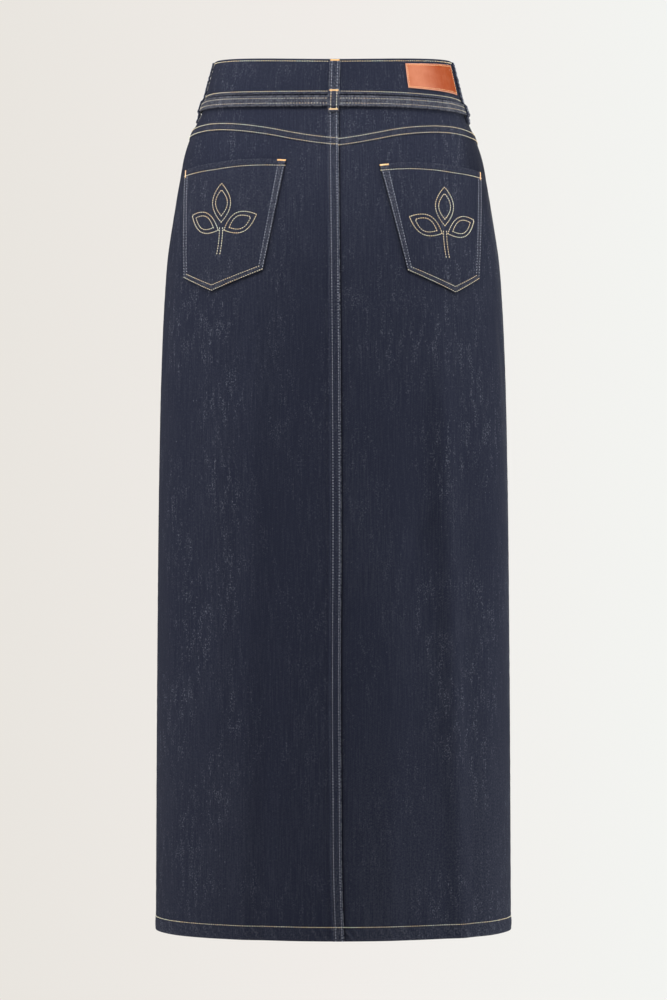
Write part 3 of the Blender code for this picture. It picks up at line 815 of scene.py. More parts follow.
@dataclass(frozen=True)
class DenimFinish:
    """Twill denim, read over its own UV map in metres.

    `warp` is the dyed yarn's colour, `slub` the paler flecks where the yarn is thick, and
    `worn` the colour of rubbed ridges, which also serves for painted highlights and painted light.
    `flecks` sets how many pale flecks there are. Painted shadow darkens the colour towards a
    quarter of `warp`.
    """

    name: str
    warp: Colour
    slub: Colour
    worn: Colour
    flecks: float = 0.60
    mottle: float = 0.40
    roughness: float = 0.86
    sheen: float = 0.006

    TWILL_PITCH = 0.00075

    def material(self) -> Material:
        """The denim's material."""
        tree = ShaderTree(self.name)
        place = tree.wire("ShaderNodeUVMap", None, "UV", uv_map="cloth")

        def noise(wide: float, tall: float, detail: float = 2.0, roughness: float = 0.5) -> Wire:
            return tree.noise(place, (wide, tall, 1.0), detail, roughness)

        streak = noise(640.0, 24.0, roughness=0.6)
        dash = noise(760.0, 190.0, detail=1.0)
        speck = noise(600.0, 520.0, detail=1.0)
        lone = noise(430.0, 330.0, detail=1.0)
        grain = noise(1300.0, 900.0, roughness=0.7)
        tweed = noise(430.0, 330.0, detail=3.0, roughness=0.75)
        tuft = noise(150.0, 34.0, roughness=0.6)
        patches = noise(20.0, 9.0)
        cloudy = noise(9.0, 4.0)
        bands = {
            "Vector": tree.scaled(place, (1.0, 0.62, 1.0)),
            "Scale": 0.314 / self.TWILL_PITCH,
            "Distortion": 0.6,
            "Detail": 1.0,
        }
        twill = tree.wire(
            "ShaderNodeTexWave", bands, "Fac", wave_type="BANDS", bands_direction="DIAGONAL"
        )

        aside = tree.add("ShaderNodeSeparateXYZ", {0: place}).outputs
        # Painted light, partly worn cloth: more pale flecks at the sides and over the seat, where
        # the lamps light the cloth most, and fewer in the darker middle of the back.
        sides = tree.ramp(tree.maths("ABSOLUTE", aside["X"]), 0.07, 0.14)
        seat = tree.ramp(aside["Y"], -0.5, -0.3) * 0.4
        lit_and_worn = tree.maths("MAXIMUM", sides, seat) * 0.62 + 0.38
        where = tree.ramp(tuft, 0.46, 0.62) * tree.ramp(patches, 0.36, 0.62)
        fleck = tree.ramp(dash, 0.56, 0.70) * 0.45 + tree.ramp(speck, 0.54, 0.68) * 0.75
        fleck = fleck * (where + 0.09) + tree.ramp(lone, 0.72, 0.80) * 0.8
        fine = (tweed - 0.5) * 0.5 + (streak - 0.5) * 0.55 + twill * 0.10
        pale = fleck * lit_and_worn * self.flecks + fine * self.mottle + (cloudy - 0.5) * 0.12
        pale = tree.clamp(pale)
        colour = tree.mix(pale, self.warp, self.slub)

        # The wear mask mixes towards the worn colour. Besides rubbed cloth it carries painted
        # highlights on seam and loop edges and painted light on the lower panels.
        rubbed_and_lit = tree.ramp(noise(520.0, 460.0, roughness=0.6), 0.42, 0.62) * tree.mark("wear")
        colour = tree.mix(tree.clamp(rubbed_and_lit), colour, self.worn)
        # Painted shadow and shading: darken towards a quarter of the warp where the painted shade
        # mask is set, in seam ditches, along pocket edges and at the right end of the back yoke and
        # panel.
        colour = tree.mix(tree.mark("shade"), colour, tuple(0.25 * part for part in self.warp))

        pull = noise(260.0, 620.0) * tree.mark("pull_across")
        pull = pull + noise(620.0, 260.0) * tree.mark("pull_down")
        height = pull * 3.2 + grain * 0.55 + twill * 0.35 + tweed * 0.6
        tree.set_plain(Sheen_Weight=self.sheen, Sheen_Roughness=0.45, Specular_IOR_Level=0.06)
        return tree.finish(colour, pale * 0.06 + self.roughness, height, 0.00022)


@dataclass(frozen=True)
class ThreadFinish:
    """Sewing thread; each stitch has its own tone."""

    name: str
    light: Colour
    deep: Colour

    def material(self) -> Material:
        """The thread's material."""
        tree = ShaderTree(self.name)
        place = tree.wire("ShaderNodeTexCoord", None, "Object")
        fuzz = tree.noise(place, (2600.0,) * 3, roughness=0.6)
        slow = tree.ramp(tree.noise(place, (38.0,) * 3), 0.38, 0.62)
        part = tree.clamp((tree.mark("tone") + slow) * 0.5 + (fuzz - 0.5) * 0.4)
        tree.set_plain(Sheen_Weight=0.12, Sheen_Roughness=0.4, Specular_IOR_Level=0.3)
        return tree.finish(tree.mix(part, self.light, self.deep), 0.62, fuzz, 0.00012)


@dataclass(frozen=True)
class LeatherFinish:
    """Smooth tanned leather with a fine grain and pale cut edges."""

    name: str
    face: Colour
    glow: Colour
    cut: Colour

    def material(self) -> Material:
        """The leather's material."""
        tree = ShaderTree(self.name)
        place = tree.wire("ShaderNodeUVMap", None, "UV", uv_map="cloth")
        inputs = {"Vector": tree.scaled(place, (1500.0, 1500.0, 1.0)), "Scale": 1.0}
        pores = tree.wire("ShaderNodeTexVoronoi", inputs, "Distance", feature="SMOOTH_F1")
        cloud = tree.noise(place, (60.0, 90.0, 1.0), 3.0, 0.55)
        streak = tree.noise(place, (420.0, 160.0, 1.0), 3.0, 0.6)
        part = (cloud - 0.5) * 0.55 + (streak - 0.5) * 0.30 + tree.mark("glow")
        colour = tree.mix(tree.clamp(part), self.face, self.glow)
        colour = tree.mix(tree.mark("cut_edge"), colour, self.cut)
        tree.set_plain(Specular_IOR_Level=0.30)
        return tree.finish(colour, 0.50, pores + streak * 0.5, 0.00008)


@dataclass(frozen=True)
class MetalFinish:
    """Aged pale brass with a brushed, slightly worn face."""

    name: str
    face: Colour
    tarnish: Colour

    def material(self) -> Material:
        """The metal's material."""
        tree = ShaderTree(self.name)
        place = tree.wire("ShaderNodeTexCoord", None, "Object")
        cloud = tree.noise(place, (320.0,) * 3, 4.0, 0.6)
        scratch = tree.noise(place, (700.0, 3200.0, 2600.0), 3.0, 0.6)
        colour = tree.mix(tree.ramp(cloud, 0.45, 0.72), self.face, self.tarnish)
        tree.set_plain(Metallic=1.0)
        return tree.finish(colour, cloud * 0.22 + 0.20, scratch, 0.00003)


class Wardrobe:
    """All finishes, made once."""

    def __init__(self) -> None:
        """Make the materials."""
        self.denim = DenimFinish(
            "raw_indigo_denim",
            warp=(0.0175, 0.0205, 0.0370),
            slub=(0.150, 0.162, 0.205),
            worn=(0.130, 0.137, 0.165),
        ).material()
        self.inside = DenimFinish(
            "denim_wrong_side",
            warp=(0.150, 0.165, 0.205),
            slub=(0.420, 0.430, 0.450),
            worn=(0.420, 0.430, 0.450),
            flecks=0.8,
            mottle=0.5,
        ).material()
        self.belt = DenimFinish(
            "pale_belt_denim",
            warp=(0.018, 0.0205, 0.0345),
            slub=(0.265, 0.270, 0.308),
            worn=(0.178, 0.183, 0.216),
            flecks=1.0,
            mottle=1.60,
        ).material()
        self.leather = LeatherFinish(
            "orange_brown_leather",
            face=(0.338, 0.0590, 0.0111),
            glow=(0.582, 0.2147, 0.118),
            cut=(0.800, 0.440, 0.310),
        ).material()
        self.metal = MetalFinish(
            "aged_brass", face=(0.640, 0.570, 0.450), tarnish=(0.330, 0.270, 0.190)
        ).material()
        brown, bright, gold, orange, grey = (
            ThreadFinish(name + "_thread", light, deep).material()
            for name, light, deep in (
                ("brown", (0.34, 0.11, 0.05), (0.20, 0.05, 0.02)),
                ("bright_gold", (0.95, 0.74, 0.34), (0.90, 0.52, 0.18)),
                ("gold", (0.80, 0.86, 0.70), (0.86, 0.62, 0.34)),
                ("orange", (1.0, 0.76, 0.46), (0.92, 0.50, 0.18)),
                ("grey", (0.50, 0.53, 0.62), (0.23, 0.25, 0.31)),
            )
        )
        self.brown = brown
        self.bright = bright
        self.threads = {Slot.GOLD: gold, Slot.ORANGE: orange, Slot.GREY: grey}


@dataclass(frozen=True)
class Stitch:
    """One kind of stitch: its spacing, shape, and turn off the row's direction."""

    pitch: float
    length: float
    thread: float
    arch: float
    dip: float
    turn: float = 0.0
    spread: float = 0.05


# Pitch, length, thread, arch, dip and turn
TOPSTITCH = Stitch(0.0028, 0.0015, 0.00080, 0.00030, 0.00060)
SPRIG_STITCH = Stitch(0.0027, 0.0020, 0.00088, 0.00028, 0.00060)
TONAL = Stitch(0.0032, 0.0012, 0.00080, 0.00026, 0.00050)
BELT_STITCH = Stitch(0.0033, 0.0013, 0.00062, 0.00026, 0.00050)
PATCH_STITCH = Stitch(0.0026, 0.0017, 0.00055, 0.00018, 0.00040)
BARTACK = Stitch(0.00045, 0.0019, 0.00052, 0.00036, 0.00035, 84.0)


@dataclass
class StitchRow:
    """A row of stitches: its places, and how far its thread lies off the body surface."""

    across: Array
    height: Array
    out: Array


class SewingMachine:
    """Sews rows with one Geometry Nodes tree that lays a stitch at every pitch of a path."""

    INPUTS = ("Pitch", "Length", "Thread", "Arch", "Dip", "Turn", "Spread")
    SEED = 7
    SIDES = 6
    BENDS = 3
    WOBBLE = 0.06

    def __init__(self, figure: Figure, wardrobe: Wardrobe) -> None:
        """Build the stitch tree."""
        self.figure = figure
        self.wardrobe = wardrobe
        self.group = bpy.data.node_groups.new("stitch_row", "GeometryNodeTree")
        self.group.is_modifier = True
        self.sockets: dict[str, str] = {}
        face = self.group.interface
        face.new_socket("Geometry", in_out="INPUT", socket_type="NodeSocketGeometry")
        kinds = dict.fromkeys(self.INPUTS, "NodeSocketFloat")
        kinds["Thread Material"] = "NodeSocketMaterial"
        for name, kind in kinds.items():
            made = face.new_socket(name, in_out="INPUT", socket_type=kind)
            self.sockets[name] = made.identifier
        face.new_socket("Geometry", in_out="OUTPUT", socket_type="NodeSocketGeometry")
        self.bench = Bench(self.group)
        self.lay_out()

    def random(self, low: object, high: object, step: int) -> Wire:
        """A number of each stitch's own between two others."""
        inputs = {2: low, 3: high, "Seed": self.SEED + step}
        return self.bench.wire("FunctionNodeRandomValue", inputs, 1, data_type="FLOAT")

    def one_stitch(self, given: dict[str, Wire]) -> Wire:
        """Geometry of one stitch: a bent thread whose ends dip into the cloth."""
        wire = self.bench.wire
        half = given["Length"] * 0.5
        low = given["Dip"] * -1.0
        start = wire("ShaderNodeCombineXYZ", {"X": half * -1.0, "Z": low})
        middle = wire("ShaderNodeCombineXYZ", {"Z": given["Arch"] * 2.0 + given["Dip"]})
        end = wire("ShaderNodeCombineXYZ", {"X": half, "Z": low})
        inputs = {"Resolution": self.BENDS, "Start": start, "Middle": middle, "End": end}
        line = wire("GeometryNodeCurveQuadraticBezier", inputs)
        inputs = {"Resolution": self.SIDES, "Radius": given["Thread"] * 0.5}
        section = wire("GeometryNodeCurvePrimitiveCircle", inputs)
        inputs = {"Curve": line, "Profile Curve": section, "Fill Caps": True}
        return wire("GeometryNodeCurveToMesh", inputs)

    def lay_out(self) -> None:
        """Lay out the tree: path, evenly spaced points, turned stitches, one plain mesh."""
        wire = self.bench.wire
        outputs = self.bench.add("NodeGroupInput").outputs
        given = {name: Wire(self.bench, outputs[name]) for name in ("Geometry", *self.sockets)}
        path = wire("GeometryNodeMeshToCurve", {"Mesh": given["Geometry"]})
        inputs = {"Curve": path, "Length": given["Pitch"]}
        spaced = wire("GeometryNodeResampleCurve", inputs, mode="LENGTH")
        lift = wire("GeometryNodeInputNamedAttribute", {"Name": "lift"}, data_type="FLOAT_VECTOR")
        align = "FunctionNodeAlignRotationToVector"
        stood = wire(align, {"Vector": lift}, axis="Z", pivot_axis="AUTO")
        inputs = {"Rotation": stood, "Vector": wire("GeometryNodeInputTangent")}
        laid = wire(align, inputs, axis="X", pivot_axis="Z")
        wobble = self.random(-self.WOBBLE, self.WOBBLE, 0)
        turn = self.bench.maths("RADIANS", given["Turn"]) + wobble
        angle = wire("FunctionNodeEulerToRotation", {0: wire("ShaderNodeCombineXYZ", {"Z": turn})})
        inputs = {"Rotation": laid, "Rotate By": angle}
        rotation = wire("FunctionNodeRotateRotation", inputs, rotation_space="LOCAL")
        spread = given["Spread"]
        inputs = {
            "Points": spaced,
            "Instance": self.one_stitch(given),
            "Rotation": rotation,
            "Scale": self.random(1.0 - spread, spread + 1.0, 1),
        }
        placed = wire("GeometryNodeInstanceOnPoints", inputs)
        inputs = {"Geometry": placed, "Name": "tone", "Value": self.random(0.0, 1.0, 2)}
        toned = wire(
            "GeometryNodeStoreNamedAttribute", inputs, data_type="FLOAT", domain="INSTANCE"
        )
        plain = wire("GeometryNodeRealizeInstances", {"Geometry": toned})
        smooth = wire("GeometryNodeSetShadeSmooth", {"Geometry": plain})
        inputs = {"Geometry": smooth, "Material": given["Thread Material"]}
        self.bench.add("NodeGroupOutput", {0: wire("GeometryNodeSetMaterial", inputs)})

    def sew(self, name: str, rows: Sequence[StitchRow], stitch: Stitch, thread: Slot):
        """Sew rows as one piece.

        Args:
            name: The piece's name.
            rows: The rows' places.
            stitch: The kind of stitch.
            thread: The thread's slot.

        Returns:
            The finished piece, riding on the body.
        """
        points, lifts, edges = [], [], []
        count = 0
        for row in rows:
            point, lift = self.figure.frame_at(row.across, row.height, row.out)
            points.append(point)
            lifts.append(lift)
            edges += [(count + step, count + step + 1) for step in range(len(point) - 1)]
            count += len(point)
        path = bpy.data.meshes.new(name + "_path")
        path.from_pydata(np.concatenate(points).tolist(), edges, [])
        layer = path.attributes.new("lift", "FLOAT_VECTOR", "POINT")
        layer.data.foreach_set("vector", np.concatenate(lifts).ravel())
        item = add_object(name, path)
        modifier = item.modifiers.new("stitches", "NODES")
        modifier.node_group = self.group
        for key, value in zip(self.INPUTS, astuple(stitch), strict=True):
            modifier[self.sockets[key]] = value
        modifier[self.sockets["Thread Material"]] = self.wardrobe.threads[thread]
        graph = bpy.context.evaluated_depsgraph_get()
        sewn = bpy.data.meshes.new_from_object(item.evaluated_get(graph))
        item.modifiers.clear()
        item.data = sewn
        sewn.name = name
        bpy.data.meshes.remove(path)
        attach(item, "root")
        LOG.info("%s: %d faces in %d rows", name, len(sewn.polygons), len(rows))
        return item


@dataclass
class Atelier:
    """What every sub-assembly works with."""

    figure: Figure
    wardrobe: Wardrobe
    machine: SewingMachine

    def row_at(self, level: float, across: Array, height: Array, out: Array) -> StitchRow:
        """A row whose places across are measured at a level."""
        return StitchRow(self.figure.at_same_turn(across, height, level), height, out)

    def make_shell(
        self, shell: Shell, materials: Sequence[Material], slot: Slot, ending: str
    ) -> bpy.types.Object:
        """Build a thin wall in the place of the model's node of its name.

        Args:
            shell: The wall.
            materials: Of its outer face and rim, and of its inner face.
            slot: The record's slot; not used.
            ending: What the piece's name adds to the node's.

        Returns:
            The piece, riding on the body.
        """
        places = shell.across
        if shell.level is not None:
            places = self.figure.at_same_turn(places, shell.height, shell.level)
        outside, _ = self.figure.frame_at(places, shell.height, shell.outer)
        inside, _ = self.figure.frame_at(places, shell.height, shell.inner)
        mesh = shell_mesh(shell, outside, inside)
        for material in materials:
            mesh.materials.append(material)
        item = add_object(shell.name + ending, mesh)
        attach(item, "root")
        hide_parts(shell.name)
        LOG.info("%s: %d faces", item.name, len(mesh.polygons))
        return item

    def make_sheet(
        self,
        shell: Shell,
        held: str,
        rests_on: Sequence[str] = (),
        both: Material | None = None,
        slot: Slot = Slot.DENIM,
        flat: Array | None = None,
    ) -> None:
        """Build a thin wall of cloth and work out the size and area of its cut laid flat.

        Args:
            shell: The wall.
            rests_on: The nodes whose cloth it hangs from or lies on; not used.
            both: Both sides' material, if they aren't denim and its wrong side.
            slot: The record's slot.
            flat: Its places across when laid flat, if not the shell's own.
        """
        sides = (both, both) if both else (self.wardrobe.denim, self.wardrobe.inside)
        item = self.make_shell(shell, sides, slot, "_cloth")
        size, area = flat_cut(shell.across if flat is None else flat, shell.height)


def row_places(start: float, end: float, step: float = 0.0015) -> Array:
    """Evenly spaced places along a row."""
    return np.linspace(start, end, max(2, round(abs(end - start) / step)))


@dataclass
class SkirtBody:
    """Yokes and panels, with felled seams at the centre back and front and a plain hem."""

    atelier: Atelier
    row_inset: float = 0.0024
    yoke_lap: float = 0.0096
    yoke_rows: tuple[float, float] = (0.0012, 0.0084)
    right_yoke_drop: float = 0.0016
    hem_row: float = 0.0156
    hem_fold: float = 0.0170
    seam_wave: float = 0.0125
    slow_wave: float = 0.0310
    side_wave: float = 0.0210
    yoke_wave: float = 0.0120
    rope_wave: float = 0.0130
    rope_lean: float = 0.7
    fly_width: float = 0.0350
    fly_row_gap: float = 0.0062
    fly_foot: float = -0.1900
    fly_bend: float = 0.0450
    below_band: float = -0.0412
    below_belt: float = -0.0470
    seam_shifts: tuple[tuple[float, float], ...] = (
        (-0.9600, 0.0062),
        (-0.9000, 0.0040),
        (-0.8000, 0.0030),
        (-0.6450, 0.0024),
        (-0.5350, 0.0030),
        (-0.3100, 0.0022),
        (-0.1000, 0.0003),
        (-0.0200, -0.0004),
    )
    yoke_seam: tuple[tuple[float, float], ...] = (
        (0.000, -0.0778),
        (0.026, -0.0746),
        (0.048, -0.0709),
        (0.073, -0.0661),
        (0.100, -0.0624),
        (0.125, -0.0604),
        (0.153, -0.0604),
        (0.180, -0.0625),
        (0.225, -0.0665),
    )
    pieces: dict[str, ClothPiece] = field(default_factory=dict)

    COLUMNS = Grading(beside_edge(0.0170, 0.00085), 92, beside_edge(0.0090, 0.0014))
    YOKE_LINES = Grading(beside_edge(0.0030, 0.0012), 12, beside_edge(0.0118, 0.0008))
    PANEL_LINES = Grading(beside_edge(0.0100, 0.0014), 330, beside_edge(0.0200, 0.0010))

    def back_edge(self, height: Array) -> Array:
        """Folded edge of the left back pieces, which lap over the right ones."""
        heights, shifts = np.array(self.seam_shifts).T
        return hermite(heights, shifts, height) + SEAM_WIDTH / 2

    def front_edge(self, height: Array) -> Array:
        """Folded edge of the left front panel, past the centre front."""
        return -self.atelier.figure.half_girth(height) - SEAM_WIDTH / 2

    def side_seam(self, height: Array) -> Array:
        """Side seam, a little forward of the widest point."""
        return self.atelier.figure.side_across(height) + SIDE_SEAM_FORWARD

    def yoke_foot(self, across: Array) -> Array:
        """Height of the seam between yoke and panel."""
        places, heights = np.array(self.yoke_seam).T
        uneven = self.right_yoke_drop * bump(across, 0.045) * (across > self.back_edge(0.0))
        return hermite(places, heights, np.abs(across)) - uneven

    def seam_relief(self, reach: Reach, lapped: bool, phase: float) -> Array:
        """Outer face beside the near seam: a felled strip, or the cloth that it lies on."""
        fade = smooth_step((self.below_belt - reach.height) / 0.02)
        wave = ripple(reach.height, self.seam_wave, phase)
        slow = ripple(reach.height, self.slow_wave, phase + 1.0)
        if not lapped:
            valley = -0.00045 * np.exp(-reach.near / 0.0030)
            pulled = (0.00016 * wave + 0.00030 * slow) * np.exp(-reach.near / 0.012)
            return fade * (valley + pulled)
        strip = lap_profile(reach.near, SEAM_WIDTH)
        rows = groove(reach.near, (self.row_inset, SEAM_WIDTH - self.row_inset))
        middle = bump(reach.near - SEAM_WIDTH / 2, 0.0040)
        rise = SEAM_RISE * strip - GROOVE_DEPTH * rows - edge_drop(reach.near)
        rise = rise + fade * strip * (0.00020 * wave * middle + 0.00010 * slow)
        beyond = np.exp(-np.maximum(reach.near - SEAM_WIDTH, 0.0) / 0.013) * (1 - strip)
        return rise + fade * beyond * (0.00034 * slow + 0.00012 * wave - 0.00020)

    def side_relief(self, reach: Reach, phase: float) -> Array:
        """Outer face beside the plain side seam."""
        wave = ripple(reach.height, self.side_wave, phase)
        ditch = -0.0006 * np.exp(-reach.far / 0.0010)
        return ditch + 0.00035 * wave * np.exp(-reach.far / 0.010)

    def hem_rope(self, reach: Reach, phase: float) -> Array:
        """Slanting waves of the twisted hem."""
        return ripple(reach.across + self.rope_lean * reach.foot, self.rope_wave, phase)

    def hem_relief(self, reach: Reach, phase: float) -> Array:
        """Outer face over the turned-up hem, which ropes between its row and its fold."""
        turned = turned_profile(reach.foot, self.hem_fold)
        row = groove(reach.foot, (self.hem_row,), 0.0010)
        rope = self.hem_rope(reach, phase)
        middle = bump(reach.foot - 0.0085, 0.0060)
        above = np.exp(-np.maximum(reach.foot - self.hem_fold, 0.0) / 0.010) * (1 - turned)
        rise = 0.00030 * turned + turned * middle * 0.00052 * rope - 0.00030 * row
        return rise + above * 0.00024 * rope - edge_drop(reach.foot, 0.0010)

    def yoke_relief(self, reach: Reach, phase: float) -> Array:
        """Outer face of a yoke's felled foot."""
        strip = lap_profile(reach.foot, self.yoke_lap)
        rows = groove(reach.foot, self.yoke_rows)
        wave = ripple(reach.across + 0.3 * reach.foot, self.yoke_wave, phase)
        middle = bump(reach.foot - self.yoke_lap / 2, 0.0034)
        rise = SEAM_RISE * strip - GROOVE_DEPTH * rows - edge_drop(reach.foot)
        return rise + strip * middle * 0.00018 * wave

    def seam_marks(self, reach: Reach, is_left: bool) -> tuple[Array, ...]:
        """The near seam's lapped strip, its edge's pale line of rubbing and painted highlight, and
        painted shadow in the ditch beside it.
        """
        strip = lap_profile(reach.near, SEAM_WIDTH) * is_left
        edge = bump(reach.near - 0.0005, 0.0008) * is_left
        return strip, edge, bump(reach.near, 0.0021) * (not is_left)

    def yoke_marks(self, reach: Reach, is_left: bool) -> dict[str, Array]:
        """Masks of a yoke: rubbed strips, the seam edge's pale line of rubbing and painted
        highlight, pulled cloth, painted shading at the right yoke's far end, and painted shadow in
        the seam's ditch.
        """
        strip, edge, ditch = self.seam_marks(reach, is_left)
        fold = lap_profile(reach.foot, self.yoke_lap)
        rim = bump(reach.foot, 0.0012)
        # The seam edge's pale line is partly rubbed cloth and partly a painted highlight.
        wear = 0.31 * strip + 1.10 * edge + 0.16 * fold + 0.22 * rim
        # Painted shading at the right yoke's far end, and painted shadow in the ditch beside the
        # seam.
        painted_end_shading = 0.36 * smooth_step((reach.across - 0.155) / 0.03)
        shade = np.maximum(0.8 * ditch, painted_end_shading)
        return {"wear": wear, "pull_across": strip, "pull_down": fold, "shade": shade}

    def painted_lower_light(self, reach: Reach, is_left: bool) -> Array:
        """Painted light: how much paler the panels are made towards their foot, most of all at the
        right, in place of light on the lower sides.
        """
        aside = np.abs(reach.across)
        start = 0.06 if is_left else 0.0
        painted_lower_light = smooth_step((aside - start) / 0.05) * smooth_step((0.30 - aside) / 0.09)
        painted_lower_light = painted_lower_light * smooth_step((-reach.height - 0.64) / 0.20)
        outer = smooth_step((aside - 0.13) / 0.05)
        return painted_lower_light * (0.040 if is_left else 0.075 + 0.055 * outer)

    def panel_marks(
        self, reach: Reach, is_back: bool, is_left: bool, phase: float
    ) -> dict[str, Array]:
        """Masks of a panel: rubbed strip and roped hem, pulled cloth, the seam edge's pale line of
        rubbing and painted highlight, painted light on the lower sides, and painted shadow in the
        seam's ditch and at the upper right corner.

        Args:
            reach: Places on the panel.
            is_back: Whether it is at the back.
            is_left: Whether it is at the left.
            phase: Where the hem's waves start.

        Returns:
            The masks by name.
        """
        strip, edge, ditch = self.seam_marks(reach, is_left)
        fold = turned_profile(reach.foot, self.hem_fold)
        pale = 0.08 + 0.12 * smooth_step((reach.height + 0.45) / 0.35)
        pale = pale + 0.14 * smooth_step((-0.80 - reach.height) / 0.12)
        # The seam edge's pale line is partly rubbed cloth and partly a painted highlight.
        wear = pale * strip + 1.20 * edge + 0.20 * bump(reach.foot, 0.0014)
        wear = wear + 0.12 * np.exp(-reach.far / 0.003)
        wear = wear + (0.07 + 0.24 * smooth_step(self.hem_rope(reach, phase))) * fold
        # Painted light on the lower sides, carried in the wear mask.
        wear = wear + self.painted_lower_light(reach, is_left)
        # Painted shading at the back panel's upper right corner, and painted shadow in the ditch
        # beside the seam.
        corner = smooth_step((reach.across - 0.145) / 0.03)
        corner = corner * smooth_step((reach.height + 0.165) / 0.05)
        shade = np.maximum(0.9 * ditch, 0.34 * corner * is_back)
        return {"wear": wear, "pull_across": strip, "pull_down": 0.6 * fold, "shade": shade}

    def make_piece(self, name: str, is_yoke: bool, is_back: bool, is_left: bool) -> ClothPiece:
        """One yoke or panel.

        Args:
            name: The node's name.
            is_yoke: Whether it is a yoke.
            is_back: Whether it is at the back.
            is_left: Whether it is at the left; the left pieces lap over the right ones.

        Returns:
            The piece.
        """
        overlap = TUCK / 2
        phase = 1.0 + 2.0 * is_yoke + 3.1 * is_back + 4.7 * is_left
        seam_edge = self.back_edge if is_back else self.front_edge

        def near(height: Array) -> Array:
            if is_back:
                return seam_edge(height) - (0.0 if is_left else TUCK)
            if is_left:
                return seam_edge(height)
            return -seam_edge(height) - SEAM_WIDTH + TUCK

        def far(height: Array) -> Array:
            side = self.side_seam(height) + (overlap if is_back else -overlap)
            return -side if is_left else side

        def upper(across: Array) -> Array:
            if is_yoke or not is_back:
                return np.full_like(across, -BAND_HALF)
            return self.yoke_foot(across) + overlap

        def lower(across: Array) -> Array:
            if is_yoke:
                return self.yoke_foot(across) - overlap
            return np.full_like(across, HEM)

        def surface(reach: Reach) -> Array:
            seam = self.seam_relief(reach, is_left, phase)
            side = self.side_relief(reach, phase + 0.5)
            if is_yoke:
                foot = self.yoke_relief(reach, phase)
                on_seam = lap_profile(reach.near, SEAM_WIDTH) * is_left
                return np.maximum(seam, foot) * on_seam + (seam + foot) * (1 - on_seam) + side
            return seam + side + self.hem_relief(reach, phase)

        def marks(reach: Reach) -> dict[str, Array]:
            if is_yoke:
                return self.yoke_marks(reach, is_left)
            return self.panel_marks(reach, is_back, is_left, phase)

        rows = self.YOKE_LINES if is_yoke else self.PANEL_LINES
        return ClothPiece(name, near, far, upper, lower, self.COLUMNS, rows, surface, marks)

    def build(self) -> None:
        """Make the yokes and panels and sew them."""
        for side in ("left", "right"):
            is_left = side == "left"
            for name, is_yoke, is_back in (
                ("back_yoke_", True, True),
                ("back_panel_", False, True),
                ("front_panel_", False, False),
            ):
                piece = self.make_piece(name + side, is_yoke, is_back, is_left)
                self.pieces[name + side] = piece
                above = "back_yoke_" + side if name == "back_panel_" else "waistband"
                self.atelier.make_sheet(piece.shell(), "hung", [above])
        self.sew_seams()
        self.sew_yokes_and_hem()
        self.sew_fly()

    def sew_seams(self) -> None:
        """Tonal rows down the felled centre back and centre front seams."""
        rows = []
        seam_foot = HEM + 0.0008
        yoke_end = self.yoke_foot(0.0) + 0.0006
        for inset in (self.row_inset, SEAM_WIDTH - self.row_inset):
            for name, top, foot in (
                ("back_yoke_left", self.below_band, yoke_end),
                ("back_panel_left", yoke_end - 0.0020, seam_foot),
                ("front_panel_left", self.below_belt, seam_foot),
            ):
                piece = self.pieces[name]
                height = row_places(top, foot)
                near = piece.near(height)
                rows.append(piece.row(near + np.sign(piece.far(height) - near) * inset, height))
        self.atelier.machine.sew("seam_stitches", rows, TONAL, Slot.GREY)

    def sew_yokes_and_hem(self) -> None:
        """Gold rows along the yokes' feet and round the hem."""
        rows = []
        for piece in self.pieces.values():
            if "yoke" in piece.name:
                across = row_places(piece.near(-0.075), piece.far(-0.060))
                for lift in self.yoke_rows:
                    rows.append(piece.row(across, self.yoke_foot(across) + lift))
        level = HEM + self.hem_row
        for piece in self.pieces.values():
            if "panel" in piece.name:
                across = row_places(piece.near(level), piece.far(level))
                rows.append(piece.row(across, np.full_like(across, level)))
        self.atelier.machine.sew("yoke_and_hem_stitches", rows, TOPSTITCH, Slot.GOLD)

    def sew_fly(self) -> None:
        """Double row that runs down beside the fly and bends to the centre front."""
        rows = []
        for lift in (0.0, self.fly_row_gap):
            width = self.fly_width + lift
            foot = self.fly_foot - lift
            bend = self.fly_bend + lift
            down = row_places(self.below_belt, foot + bend)
            turn = np.linspace(0.0, np.pi / 2, 24)[1:]
            inset = np.concatenate([np.full(len(down), width), width * np.cos(turn)])
            height = np.concatenate([down, foot + bend - bend * np.sin(turn)])
            kept = inset > SEAM_WIDTH - self.row_inset - SEAM_WIDTH / 2
            across = self.front_edge(height) + SEAM_WIDTH / 2 + inset
            rows.append(self.pieces["front_panel_left"].row(across[kept], height[kept]))
        self.atelier.machine.sew("fly_stitches", rows, TOPSTITCH, Slot.GOLD)


